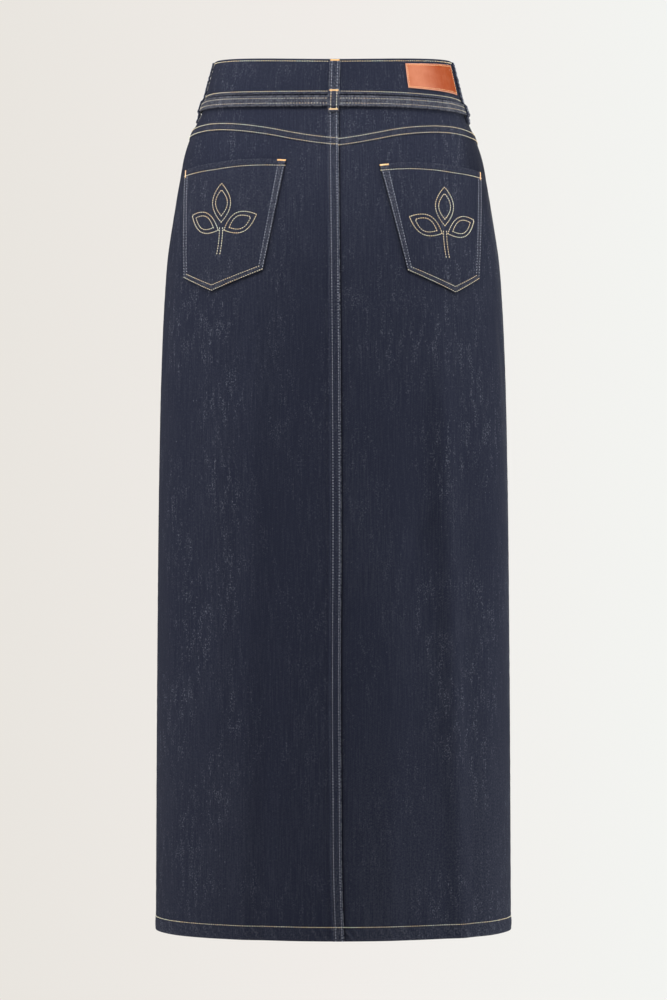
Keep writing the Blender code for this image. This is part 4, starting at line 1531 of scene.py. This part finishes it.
@dataclass
class Waistband:
    """A straight band with its left end lapped over its right end at the front."""

    atelier: Atelier
    top_row: float = 0.0028
    foot_row: float = 0.0035
    end_row: float = 0.0034
    lap_margin: float = 0.0120
    lap_ramp: float = 0.0250

    COLUMNS = Grading(beside_edge(0.0040, 0.0008), 420, beside_edge(0.0040, 0.0008))
    LINES = Grading(beside_edge(0.0062, 0.0007), 12, beside_edge(0.0070, 0.0007))

    def top(self, across: Array) -> Array:
        """The upper edge, a little higher at the sides."""
        girth = 2 * self.atelier.figure.half_girth(0.0)
        return BAND_HALF + SIDE_LIFT * (1 - np.cos(4 * np.pi * across / girth)) / 2

    def lap_lift(self, across: Array) -> Array:
        """How far the left end is lifted over the right one."""
        start = -self.atelier.figure.half_girth(0.0)
        lap_end = start + BAND_UNDERLAP + self.lap_margin
        over = 1 - smooth_step((across - lap_end) / self.lap_ramp)
        return over * (CLOTH + BAND_PROUD + GAP)

    def face(self, across: Array, height: Array) -> Array:
        """Distance of the outer face off the body surface."""
        from_top = self.top(across) - height
        from_foot = height + BAND_HALF
        rows = groove(from_top, (self.top_row,), 0.0010)
        rows = rows + groove(from_foot, (self.foot_row,), 0.0010)
        wave = ripple(across, 0.0105, 0.7)
        near_rows = bump(from_foot - self.foot_row, 0.0035) + bump(from_top - self.top_row, 0.003)
        out = BAND_PROUD - 0.00026 * rows - 0.00010 * near_rows * (1 + wave)
        out = out - edge_drop(from_top, 0.0012) - edge_drop(from_foot, 0.0010)
        return out + self.lap_lift(across)

    def build(self) -> None:
        """Make the band and its rows."""
        half = self.atelier.figure.half_girth(0.0)
        start = -half - BAND_OVERLAP
        end = half + BAND_UNDERLAP
        across = self.COLUMNS.between(start, end)
        top = self.top(across)
        height = self.LINES.between(top, -BAND_HALF, is_down=True)
        across = np.broadcast_to(across, height.shape)
        outer = self.face(across, height) - edge_drop(across - start, 0.0010)
        inner = self.lap_lift(across) - CLOTH
        from_foot = height + BAND_HALF
        fold = turned_profile(from_foot, self.foot_row + 0.001)
        ridge = turned_profile(top - height, self.top_row)
        wear = 0.42 * fold + 0.20 * ridge + 0.25 * bump(from_foot, 0.0010)
        pull = 0.5 * (fold + ridge)
        marks = {"wear": wear, "pull_across": 0 * wear, "pull_down": pull}
        shell = Shell("waistband", across, height, outer, inner, marks, level=0.0)
        self.atelier.make_sheet(shell, "stretched")
        self.sew(start + self.end_row, half - BAND_OVERLAP - 0.0006)

    def row(self, across: Array, height: Array) -> StitchRow:
        """A row on the band."""
        return self.atelier.row_at(0.0, across, height, self.face(across, height))

    def sew(self, start: float, end: float) -> None:
        """Gold rows along the band's top, foot and lapped end."""
        across = row_places(start, end)
        top = self.top(across) - self.top_row
        foot = np.full_like(across, -BAND_HALF + self.foot_row)
        height = row_places(top[0], foot[0])
        rows = [self.row(across, top), self.row(across, foot)]
        rows.append(self.row(np.full_like(height, start), height))
        self.atelier.machine.sew("waistband_stitches", rows, TOPSTITCH, Slot.GOLD)


@dataclass
class Belt:
    """A narrow belt from the buckle, round the back, through the buckle to its tip."""

    atelier: Atelier
    tip: float = 0.1250
    end_taper: float = 0.55
    bend_half: float = 0.0080
    row_inset: float = 0.0033
    row_ends: tuple[float, float] = (0.0015, 0.0040)

    COLUMNS = Grading((0.0, 0.0004, 0.001), 560, (0.0, 0.0004, 0.001))
    LINES = Grading(beside_edge(0.0050, 0.0006), 1, beside_edge(0.0050, 0.0006))

    def level(self, across: Array) -> Array:
        """Height of the belt's middle: level behind, up at the right side, lower in front."""
        half = self.atelier.figure.half_girth(BELT_LEVEL)
        front = np.maximum(0.0, -np.cos(np.pi * across / half))
        aside = across - self.atelier.figure.side_across(BELT_LEVEL)
        return BELT_LEVEL - BELT_SAG * front**2 + BELT_SIDE_RISE * bump(aside, 0.030)

    def inner(self, across: Array) -> Array:
        """Distance of the belt's back off the body surface; its tail lies on its start."""
        half = self.atelier.figure.half_girth(BELT_LEVEL)
        over = smooth_step((across - half + self.bend_half) / (2 * self.bend_half))
        return BELT_STAND + over * (BELT_THICK + GAP)

    def face(self, across: Array, side: Array) -> Array:
        """Distance of the belt's face off the body surface; side is -1 to 1 over its width."""
        edge = (1 - np.abs(side)) * BELT_HALF
        rows = groove(edge, (self.row_inset,), 0.0008)
        wave = ripple(across, 0.0090, 0.4)
        out = self.inner(across) + BELT_THICK - edge_drop(edge, 0.0011)
        return out - 0.00026 * rows - 0.00012 * (1 + wave) * bump(edge - self.row_inset, 0.0024)

    def build(self) -> None:
        """Make the belt and its rows."""
        half = self.atelier.figure.half_girth(BELT_LEVEL)
        start = -half + BUCKLE_REACH + BUCKLE_BAR + GAP
        end = half + self.tip
        across = self.COLUMNS.between(start, end)
        down, lifts = self.LINES.lines()
        side = (1 - 2 * down - lifts / BELT_HALF)[:, None]
        tip_part = 1 - np.clip((end - across) / (2 * BELT_HALF), 0.0, 1.0)
        taper = 1 - (1 - self.end_taper) * smooth_step(tip_part) ** 2
        height = self.level(across) + side * taper * BELT_HALF
        side = np.broadcast_to(side, height.shape)
        across = np.broadcast_to(across, height.shape)
        edge = (1 - np.abs(side)) * BELT_HALF
        wear = 0.40 * bump(edge, 0.0014) + 0.25 * groove(edge, (self.row_inset,), 0.0012) + 0.22
        marks = {"wear": wear, "pull_across": 0 * wear, "pull_down": np.ones_like(wear)}
        faces = (self.face(across, side), self.inner(across))
        shell = Shell("belt", across, height, *faces, marks, level=BELT_LEVEL)
        pale = self.atelier.wardrobe.belt
        self.atelier.make_sheet(shell, "stretched", ["back_yoke_left"], pale, Slot.BELT)
        self.sew(start, end)

    def row(self, across: Array, side: float) -> StitchRow:
        """A row on the belt."""
        height = self.level(across) + side * BELT_HALF
        out = self.face(across, np.full_like(across, side))
        return self.atelier.row_at(BELT_LEVEL, across, height, out)

    def sew(self, start: float, end: float) -> None:
        """Two rows along the belt."""
        side = 1 - self.row_inset / BELT_HALF
        across = row_places(start + self.row_ends[0], end - self.row_ends[1])
        for name, place in (("upper", side), ("lower", -side)):
            row = self.row(across, place)
            self.atelier.machine.sew(f"belt_{name}_stitches", [row], BELT_STITCH, Slot.GOLD)


@dataclass(frozen=True)
class Loop:
    """One belt loop: where it is, and how it stands off.

    `centre` is its place across at the belt, `slant` its drift for each metre up, `slack` how
    far it stands off between its tacks, `layers` how many layers of belt it holds, `foot` how
    far it reaches below the belt and `foot_out` how far its lower end is off the surface.
    `uneven` sets how much it waves between its tacks.
    """

    name: str
    centre: float
    slack: float
    layers: int
    foot: float
    foot_out: float
    slant: float = 0.0
    uneven: float = 0.0


@dataclass
class BeltLoops:
    """Five loops, tacked at the band's top and foot and below the belt."""

    atelier: Atelier
    band: Waistband
    belt: Belt
    half: float = 0.0061
    thick: float = 0.0020
    top_inset: float = 0.0004
    tack: float = 0.0036
    slack_top: float = 0.0090
    slack_foot: float = -0.0060
    band_tack_top: float = 0.0050
    band_tack_foot: float = 0.0018
    ease: float = 0.0007
    step: float = 0.0030
    foot: float = 0.0066
    side_foot: float = 0.0110
    left_foot: float = 0.0138
    slack: float = 0.0012
    side_slack: float = 0.0001
    from_front: float = 0.1000
    behind_left_side: float = 0.0080
    behind_right_side: float = 0.0130
    back_across: float = 0.0012
    back_slant: float = 0.032
    row_inset: float = 0.0029
    row_start: float = 0.0016
    row_step: float = 0.0006
    tack_half: float = 0.0048
    tack_insets: tuple[float, float, float] = (0.0014, 0.0042, 0.0030)
    fine_steps: int = 132

    COLUMNS = Grading(beside_edge(0.0052, 0.0006), 1, beside_edge(0.0052, 0.0006))

    def route(self, loop: Loop) -> Array:
        """Heights and distances of a loop's back, closely spaced and eased at its bends."""
        level = self.belt.level(loop.centre)
        flat = BAND_PROUD + GAP
        arch = BELT_STAND + loop.layers * (BELT_THICK + GAP)
        top = self.band.top(loop.centre) - self.top_inset - 0.0010 * loop.uneven
        belt_top = level + BELT_HALF
        belt_foot = level - BELT_HALF
        heights, outs = np.array(
            [
                (top, flat),
                (top - self.tack, flat),
                (self.slack_top, flat + loop.slack),
                (self.slack_foot, flat + loop.slack),
                (-BAND_HALF + self.band_tack_top, flat),
                (-BAND_HALF + self.band_tack_foot * (1 - 0.8 * loop.uneven), flat),
                (belt_top + self.ease * (1 - loop.uneven), arch),
                (level, arch),
                (belt_foot - self.ease, arch),
                (belt_foot - self.step, loop.foot_out),
                (belt_foot - loop.foot, loop.foot_out),
            ]
        ).T
        fine = np.linspace(heights[0], heights[-1], self.fine_steps)
        out = np.interp(-fine, -heights, outs)
        window = np.array([0.25, 0.5, 0.25])
        for _ in range(3):
            out[1:-1] = np.convolve(out, window, mode="valid")
        return np.array([fine, out])

    def line(self, loop: Loop, height: Array) -> Array:
        """The loop's middle line."""
        place = self.atelier.figure.at_same_turn(loop.centre, height, BELT_LEVEL)
        return place + loop.slant * height

    def fullness(self, loop: Loop, height: Array) -> Array:
        """How much thicker a side loop is just under the belt, where its end is folded."""
        below = BELT_LEVEL - BELT_HALF - height
        return 0.0014 * loop.uneven * bump(below - 0.0045, 0.0030)

    def make(self, loop: Loop) -> None:
        """Build one loop, its rows and its bartacks."""
        fine, out = self.route(loop)
        sides = self.COLUMNS.between(-self.half, self.half)
        height = np.broadcast_to(fine[:, None], (len(fine), sides.shape[1]))
        slack = 0.0004 * loop.uneven * ripple(height, 0.0052, 0.3) * (height > -BAND_HALF)
        inner = out[:, None] + slack
        edge = self.half - np.abs(sides)
        rows = groove(edge, (self.row_inset,), 0.0007)
        ends = np.minimum(fine[0] - height, height - fine[-1])
        wave = ripple(height, 0.0070, loop.centre * 40)
        outer = inner + self.thick - edge_drop(edge, 0.0010)
        outer = outer - edge_drop(ends, 0.0008 * (1 + loop.uneven))
        outer = outer - 0.00024 * rows - 0.00008 * (1 + wave) + self.fullness(loop, height)
        across = self.line(loop, height) + sides
        # Paler edges and ends: rubbed cloth, and along the edges partly a painted highlight.
        wear = 0.34 + 0.60 * bump(edge, 0.0013) + 0.22 * rows + 0.45 * bump(ends, 0.0014)
        wear = wear * (1 - 0.7 * loop.uneven)
        marks = {"wear": wear, "pull_across": 0.6 + 0 * wear, "pull_down": 0 * wear}
        shell = Shell(loop.name, across, height, outer, inner, marks)
        denim = self.atelier.wardrobe.denim
        flat = np.broadcast_to(sides, height.shape)
        self.atelier.make_sheet(shell, "stretched", ["waistband", "belt"], denim, flat=flat)
        self.sew(loop, fine, out)

    def sew(self, loop: Loop, fine: Array, out: Array) -> None:
        """The loop's two rows and three bartacks."""

        def row(aside: Array | float, height: Array) -> StitchRow:
            face = np.interp(-height, -fine, out) + self.thick - 0.00018
            face = face + self.fullness(loop, height)
            return StitchRow(self.line(loop, height) + aside, height, face)

        machine = self.atelier.machine
        top, middle, foot = self.tack_insets
        tacks = (fine[0] - top, -BAND_HALF + middle, fine[-1] + foot)
        shift = self.half - self.row_inset
        stitch, lower_thread, bar_thread = TONAL, Slot.GOLD, Slot.ORANGE
        if loop.uneven:
            stitch, lower_thread, bar_thread = PATCH_STITCH, Slot.GREY, Slot.GREY
        for name, start, end, thread in (
            ("upper", tacks[0], tacks[1], Slot.GREY),
            ("lower", tacks[1], tacks[2], lower_thread),
        ):
            height = row_places(start - self.row_start, end + self.row_start, self.row_step)
            rows = [row(aside, height) for aside in (-shift, shift)]
            machine.sew(f"{loop.name}_{name}_stitches", rows, stitch, thread)
        half = self.tack_half * (0.6 if loop.uneven else 1.0)
        bar = row_places(-half, half, self.row_step)
        bars = [row(bar, np.full_like(bar, tack)) for tack in tacks]
        machine.sew(loop.name + "_bartacks", bars, BARTACK, bar_thread)

    def build(self) -> None:
        """Make the five loops."""
        figure = self.atelier.figure
        side = figure.side_across(BELT_LEVEL)
        right = side - self.behind_right_side
        left = self.behind_left_side - side
        front = figure.half_girth(BELT_LEVEL) - self.from_front
        free, held = self.slack, self.side_slack
        for name, *values in (
            ("back", self.back_across, free, 1, self.foot, SEAM_RISE + GAP, self.back_slant),
            ("side_right", right, held, 1, self.side_foot, GAP, 0.0, 1.0),
            ("side_left", left, held, 1, self.left_foot, GAP, 0.0, 1.0),
            ("front_right", front, free, 1, self.foot, GAP),
            ("front_left", -front, free, 2, self.foot, GAP),
        ):
            self.make(Loop("belt_loop_" + name, *values))


@dataclass(frozen=True)
class Leaf:
    """A stitched leaf: its base in the motif, direction off the vertical, and size."""

    right: float
    up: float
    angle: float
    length: float
    width: float


SPRIG = table(
    Leaf,
    """
      right       up  angle  length   width
     0.0000   0.0030    0.0  0.0430  0.0235
     0.0040  -0.0060   66.0  0.0420  0.0225
    -0.0040  -0.0060  -66.0  0.0420  0.0225
    """,
)


@dataclass(frozen=True)
class PocketCut:
    """Outline of one pocket, from its inner side to its outer one.

    `mouth` and `foot` are places (across, height), with across counted away from the centre
    back; `middle` is where the sprig is sewn and `rubbed` how worn its face is.
    """

    name: str
    mirror: float
    mouth: tuple[tuple[float, float], ...]
    foot: tuple[tuple[float, float], ...]
    middle: tuple[float, float]
    rubbed: float = 0.0


POCKETS = (
    PocketCut(
        name="back_pocket_right",
        mirror=1.0,
        mouth=(
            (0.0506, -0.0995),
            (0.0744, -0.0968),
            (0.1100, -0.0957),
            (0.1433, -0.0972),
            (0.1940, -0.1008),
        ),
        foot=((0.0827, -0.2179), (0.1413, -0.2414), (0.1769, -0.2238)),
        middle=(0.1275, -0.1690),
    ),
    PocketCut(
        name="back_pocket_left",
        mirror=-1.0,
        mouth=(
            (0.0520, -0.0940),
            (0.0765, -0.0931),
            (0.1015, -0.0934),
            (0.1405, -0.0968),
            (0.1960, -0.1034),
        ),
        foot=((0.0780, -0.2178), (0.1411, -0.2415), (0.1843, -0.2256)),
        middle=(0.1285, -0.1670),
        rubbed=0.07,
    ),
)


@dataclass
class BackPocket:
    """A patch pocket with a curved mouth, a pointed foot and a sewn leaf sprig."""

    atelier: Atelier
    cut: PocketCut
    thick: float = 0.0016
    puff: float = 0.0007
    mouth_row: float = 0.0078
    edge_rows: tuple[float, float] = (0.0018, 0.0074)
    grid: tuple[int, int] = (84, 96)
    row_steps: int = 90
    side_steps: int = 80
    mouth_bar: tuple[float, float] = (0.0006, 0.0086)
    side_bar: tuple[float, float] = (0.0008, 0.0100)
    bar_insets: tuple[float, float] = (0.0014, 0.0036)
    bar_steps: int = 12
    row_gap: float = 0.0040
    leaf_steps: int = 61
    leaf_taper: float = 0.85
    stem: tuple[float, float] = (-0.0320, -0.0040)
    stem_steps: int = 24
    stem_bend: float = 4.0

    def place(self, part: Array, down: Array) -> tuple[Array, Array]:
        """Across and height at a part of the way over and down the pocket."""
        (mouth_at, mouth_height), (foot_at, foot_height) = (
            np.array(line).T for line in (self.cut.mouth, self.cut.foot)
        )
        mouth_part, foot_part = ((at - at[0]) / (at[-1] - at[0]) for at in (mouth_at, foot_at))
        top_across = np.interp(part, mouth_part, mouth_at)
        top_height = hermite(mouth_part, mouth_height, part)
        foot_across = np.interp(part, foot_part, foot_at)
        foot_line = np.interp(part, foot_part, foot_height)
        across = top_across + (foot_across - top_across) * down
        return across, top_height + (foot_line - top_height) * down

    def widths(self) -> tuple[float, float]:
        """Mean width and depth of the pocket."""
        mouth, foot = self.cut.mouth, self.cut.foot
        wide = (mouth[-1][0] - mouth[0][0] + foot[-1][0] - foot[0][0]) / 2
        return wide, mouth[1][1] - foot[1][1] - 0.008

    def reach(self, part: Array, down: Array) -> tuple[Array, ...]:
        """Distances from the nearer side, from the nearest sewn edge and from the mouth."""
        wide, deep = self.widths()
        sides = np.minimum(part, 1 - part) * wide
        return sides, np.minimum(sides, (1 - down) * deep), down * deep

    def face(self, part: Array, down: Array) -> Array:
        """Distance of the pocket's face off the body surface."""
        _, edge, mouth = self.reach(part, down)
        rows = groove(edge, self.edge_rows) + groove(mouth, (self.mouth_row,), 0.0010)
        across, height = self.place(part, down)
        wave = ripple(height + across, 0.0115, 0.9)
        strip = turned_profile(edge, self.edge_rows[1]) + turned_profile(mouth, self.mouth_row)
        inside = smooth_step(edge / 0.030) * smooth_step(mouth / 0.02)
        out = GAP + self.thick + 0.00022 * np.minimum(strip, 1.0) - 0.00024 * rows
        out = out + self.puff * inside + 0.00010 * strip * wave
        return out - edge_drop(edge) - edge_drop(mouth)

    def build(self) -> None:
        """Build the pocket and its sewing."""
        wide, deep = self.widths()
        lines = beside_edge(0.0098, 0.0008)
        grades = (Grading(lines, count - 2 * len(lines), lines) for count in self.grid)
        part, down = part_grid(*grades, wide, deep)
        across, height = self.place(part, down)
        outer = self.face(part, down)
        sides, edge, mouth = self.reach(part, down)
        strip = turned_profile(edge, self.edge_rows[1] + 0.001)
        side_strip = turned_profile(sides, self.edge_rows[1] + 0.001)
        hem = turned_profile(mouth, self.mouth_row)
        wear = 0.30 * strip + 0.25 * bump(edge - 0.001, 0.0010) + 0.20 * bump(mouth, 0.0012)
        marks = {
            "wear": wear + 0.08 * hem + 0.14 * side_strip + self.cut.rubbed,
            "pull_across": side_strip,
            "pull_down": np.maximum(strip - side_strip, hem),
            # Painted shadow: a dark line along the pocket's outermost millimetre, where it stands
            # off the panel.
            "shade": 0.9 * bump(edge, 0.0009),
        }
        if self.cut.mirror < 0:
            across, height, outer = -across[:, ::-1], height[:, ::-1], outer[:, ::-1]
            marks = {key: value[:, ::-1] for key, value in marks.items()}
        shell = Shell(self.cut.name, across, height, outer, GAP, marks)
        panel = self.cut.name.replace("pocket", "panel")
        self.atelier.make_sheet(shell, "laid", [panel], self.atelier.wardrobe.denim)
        self.sew()

    def row(self, part: Array, down: Array) -> StitchRow:
        """A row on the pocket."""
        part, down = np.broadcast_arrays(part, down)
        across, height = self.place(part, down)
        return StitchRow(self.cut.mirror * across, height, self.face(part, down))

    def sew(self) -> None:
        """Mouth, side and foot rows, bartacks and the sprig."""
        name = self.cut.name
        wide, deep = self.widths()
        machine = self.atelier.machine
        mouth = self.mouth_row / deep
        inner_edge = 0.0008 / wide
        gold = [self.row(np.linspace(inner_edge, 1 - inner_edge, self.row_steps), mouth)]
        tonal = []
        for inset in self.edge_rows:
            aside = inset / wide
            foot = 1 - inset / deep
            gold.append(self.row(np.linspace(aside, 1 - aside, self.row_steps), foot))
            down = np.linspace(mouth, foot, self.side_steps)
            tonal += [self.row(aside, down), self.row(1 - aside, down)]
        machine.sew(name + "_rows", gold, TOPSTITCH, Slot.GOLD)
        machine.sew(name + "_side_rows", tonal, TONAL, Slot.GREY)
        down, aside = self.bar_insets
        level = np.linspace(*self.mouth_bar, self.bar_steps) / wide
        upright = np.linspace(*self.side_bar, self.bar_steps) / deep
        bars = [self.row(level, down / deep), self.row(1 - aside / wide, upright)]
        machine.sew(name + "_bartacks", bars, BARTACK, Slot.ORANGE)
        sewn = machine.sew(name + "_sprig", self.sprig_rows(), SPRIG_STITCH, Slot.GOLD)
        sewn.data.materials[0] = self.atelier.wardrobe.bright

    def sprig_rows(self) -> list[StitchRow]:
        """Leaf outlines in double rows on a double stem."""
        rows = []
        around = np.linspace(0.0, 2 * np.pi, self.leaf_steps)
        for leaf in SPRIG:
            angle = math.radians(leaf.angle)
            for inset in (0.0, self.row_gap):
                length = leaf.length - 3.6 * inset
                width = leaf.width - 2.0 * inset
                along = inset * 1.8 + length * (1 - np.cos(around)) / 2
                taper = np.sin(np.pi * (along - inset * 1.8) / length)
                aside = np.sign(np.sin(around)) * width / 2 * taper**self.leaf_taper
                right = leaf.right + along * math.sin(angle) + aside * math.cos(angle)
                up = leaf.up + along * math.cos(angle) - aside * math.sin(angle)
                rows.append(self.sprig_row(right, up))
        stem = np.linspace(*self.stem, self.stem_steps)
        for side in (-0.5, 0.5):
            right = side * self.row_gap + self.stem_bend * (stem - self.stem[1]) ** 2
            rows.append(self.sprig_row(right, stem))
        return rows

    def sprig_row(self, right: Array, up: Array) -> StitchRow:
        """A row of the sprig, laid on the pocket's puffed middle."""
        middle, level = self.cut.middle
        out = np.full_like(right, GAP + self.thick + self.puff - 0.00008)
        return StitchRow(self.cut.mirror * (middle + right), level + up, out)


@dataclass
class LeatherPatch:
    """A bare leather patch sewn on the waistband near its right side."""

    atelier: Atelier
    band: Waistband
    inner_end: float = 0.0833
    outer_end: float = 0.1585
    top_inset: float = 0.0060
    foot_level: float = -0.0109
    foot_drop: float = 0.0012
    thick: float = 0.0014
    row_inset: float = 0.0018
    row_steps: int = 40
    grid: tuple[int, int] = (40, 16)

    def place(self, part: Array, down: Array) -> tuple[Array, Array]:
        """Across and height at a part of the way over and down the patch."""
        across = self.inner_end + (self.outer_end - self.inner_end) * part
        top = self.band.top(across) - self.top_inset
        foot = self.foot_level - self.foot_drop * part
        return across, top + (foot - top) * down

    def face(self, part: Array, down: Array) -> Array:
        """Distance of the leather's face off the body surface."""
        edge = self.edge(part, down)
        row = groove(edge, (self.row_inset,), 0.0008)
        out = BAND_PROUD + GAP + self.thick - edge_drop(edge, 0.0007) - 0.00016 * row
        return out + 0.00015 * smooth_step(edge / 0.008)

    def sizes(self) -> tuple[float, float]:
        """Length and mean height."""
        return self.outer_end - self.inner_end, BAND_HALF - self.top_inset - self.foot_level + 0.003

    def edge(self, part: Array, down: Array) -> Array:
        """Distance from the nearest edge."""
        long, tall = self.sizes()
        return np.minimum(np.minimum(part, 1 - part) * long, np.minimum(down, 1 - down) * tall)

    def build(self) -> None:
        """Make the patch and its stitches."""
        long, tall = self.sizes()
        lines = beside_edge(0.0040, 0.0005)
        grades = (Grading(lines, count, lines) for count in self.grid)
        part, down = part_grid(*grades, long, tall)
        glow = 0.62 * bump(part - 0.16, 0.26) + 0.10 * (1 - part)
        marks = {"glow": glow, "cut_edge": 0.75 * bump(self.edge(part, down), 0.0007)}
        faces = (self.face(part, down), BAND_PROUD + GAP)
        shell = Shell("leather_patch", *self.place(part, down), *faces, marks, level=0.0)
        materials = (self.atelier.wardrobe.leather,) * 2
        self.atelier.make_shell(shell, materials, Slot.LEATHER, "_face")
        aside = self.row_inset / long
        inset = self.row_inset / tall
        part = np.linspace(aside, 1 - aside, self.row_steps)
        down = np.linspace(inset, 1 - inset, self.row_steps)
        rows = [self.row(part, inset), self.row(part, 1 - inset)]
        rows += [self.row(aside, down), self.row(1 - aside, down)]
        sewn = self.atelier.machine.sew("patch_stitches", rows, PATCH_STITCH, Slot.ORANGE)
        sewn.data.materials[0] = self.atelier.wardrobe.brown

    def row(self, part: Array | float, down: Array | float) -> StitchRow:
        """A row on the patch."""
        part, down = np.broadcast_arrays(part, down)
        across, height = self.place(part, down)
        return self.atelier.row_at(0.0, across, height, self.face(part, down))


@dataclass
class Studio:
    """Pale floor and surroundings, soft light from both sides, and the camera."""

    eye: tuple[float, float, float] = (0.0001, -5.0, -0.4723)
    lens: float = 158.2
    floor_level: float = -1.2000
    floor_size: float = 40.0
    near_floor: float = 0.3
    far_floor: float = 1.6
    even_light: float = 0.065
    view_half: float = 0.076
    backdrop: tuple[Colour, Colour, Colour] = (
        (0.815, 0.784, 0.738),
        (0.871, 0.839, 0.807),
        (0.896, 0.905, 0.880),
    )

    def build(self) -> None:
        """Set the stage."""
        self.add_world()
        self.add_floor()
        for side, power in ((-1.0, 96.0), (1.0, 105.0)):
            self.add_light("side_light", (side * 3.2, -0.65, -0.72), (1.0, 2.8), power)
        self.add_light("top_light", (-0.1, -0.68, 0.85), (1.2, 0.5), 18.5)
        self.add_light("front_light", (0.6, 3.0, 0.2), (1.6, 1.6), 62.0)
        self.add_camera()

    def shaded_backdrop(self, bench: Bench, direction: Wire) -> Wire:
        """Colour that goes from the backdrop's left to its right by a direction's x."""
        side = bench.wire("ShaderNodeSeparateXYZ", {0: direction}, "X")
        inputs = {"Value": side, "From Min": -self.view_half, "From Max": self.view_half}
        ramp = bench.add("ShaderNodeValToRGB", {0: bench.wire("ShaderNodeMapRange", inputs)})
        ramp.color_ramp.elements.new(0.5)
        for stop, colour in zip(ramp.color_ramp.elements, self.backdrop, strict=True):
            stop.color = (*colour, 1.0)
        return Wire(bench, ramp.outputs["Color"])

    def add_world(self) -> None:
        """Pale surroundings: what the camera sees, and a dimmer even light."""
        world = bpy.data.worlds.new("studio")
        bpy.context.scene.world = world
        world.use_nodes = True
        bench = Bench(world.node_tree)
        shown = world.node_tree.nodes["Background"]
        direction = bench.wire("ShaderNodeTexCoord", None, "Generated")
        bench.feed(shown.inputs["Color"], self.shaded_backdrop(bench, direction))
        inputs = {"Color": (0.94, 0.97, 1.0, 1.0), "Strength": self.even_light}
        even = bench.wire("ShaderNodeBackground", inputs)
        seen = bench.wire("ShaderNodeLightPath", None, "Is Camera Ray")
        choice = bench.wire("ShaderNodeMixShader", {0: seen, 1: even, 2: shown.outputs[0]})
        bench.feed(world.node_tree.nodes["World Output"].inputs["Surface"], choice)
        settings = bpy.context.scene.view_settings
        settings.view_transform = "Standard"
        settings.look = "None"

    def add_floor(self) -> None:
        """A large pale floor that takes a soft shadow near the skirt and fades far off."""
        half = self.floor_size / 2
        corners = [(-half, -half), (half, -half), (half, half), (-half, half)]
        mesh = bpy.data.meshes.new("floor")
        mesh.from_pydata([(x, y, self.floor_level) for x, y in corners], [], [(0, 1, 2, 3)])
        tree = ShaderTree("pale_floor")
        place = tree.wire("ShaderNodeTexCoord", None, "Object")
        away = tree.wire("ShaderNodeVectorMath", {0: place, 1: self.eye}, operation="SUBTRACT")
        direction = tree.wire("ShaderNodeVectorMath", {0: away}, operation="NORMALIZE")
        colour = self.shaded_backdrop(tree, direction)
        tree.feed(tree.shader.inputs["Base Color"], colour)
        tree.set_plain(Roughness=0.9)
        glow = tree.wire("ShaderNodeEmission", {"Color": colour})
        level = {0: place, 1: (1.0, 1.0, 0.0)}
        flat = tree.wire("ShaderNodeVectorMath", level, operation="MULTIPLY")
        distance = tree.wire("ShaderNodeVectorMath", {0: flat}, "Value", operation="LENGTH")
        fade = tree.ramp(distance, self.near_floor, self.far_floor)
        inputs = {0: fade, 1: tree.shader.outputs[0], 2: glow}
        choice = tree.wire("ShaderNodeMixShader", inputs)
        tree.feed(tree.tree.nodes["Material Output"].inputs["Surface"], choice)
        mesh.materials.append(tree.material)
        add_object("floor", mesh)

    def add_light(
        self, name: str, place: Sequence[float], size: tuple[float, float], power: float
    ) -> None:
        """A soft box that looks at the middle of the skirt.

        Args:
            name: The light's name.
            place: Where it stands.
            size: Its width and height.
            power: Its power in watts.
        """
        lamp = bpy.data.lights.new(name, "AREA")
        lamp.shape = "RECTANGLE"
        lamp.size, lamp.size_y = size
        lamp.energy = power
        item = add_object(name, lamp)
        item.location = place
        item.visible_camera = False
        aim = Vector((0.0, 0.0, self.eye[2])) - Vector(place)
        item.rotation_euler = aim.to_track_quat("-Z", "Y").to_euler()

    def add_camera(self) -> None:
        """A level camera behind the skirt."""
        data = bpy.data.cameras.new("camera")
        data.lens = self.lens
        camera = add_object("camera", data)
        camera.location = self.eye
        camera.rotation_euler = (math.pi / 2, 0.0, 0.0)
        bpy.context.scene.camera = camera


def polish(node: bpy.types.Object, material: Material, slot: Slot) -> None:
    """Give a carried-over node its finish."""
    node.data.materials.clear()
    node.data.materials.append(material)


def main() -> None:
    """Build the skirt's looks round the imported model."""
    logging.basicConfig(level=logging.INFO, format="%(message)s")
    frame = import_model()
    figure = Figure()
    wardrobe = Wardrobe()
    machine = SewingMachine(figure, wardrobe)
    atelier = Atelier(figure, wardrobe, machine)
    band = Waistband(atelier)
    belt = Belt(atelier)
    band.build()
    SkirtBody(atelier).build()
    belt.build()
    BeltLoops(atelier, band, belt).build()
    for cut in POCKETS:
        BackPocket(atelier, cut).build()
    LeatherPatch(atelier, band).build()
    for name in ("belt_buckle", "buckle_prong", "waist_button"):
        polish(frame["nodes"][name], wardrobe.metal, Slot.METAL)
    Studio().build()


if __name__ == "__main__":
    main()
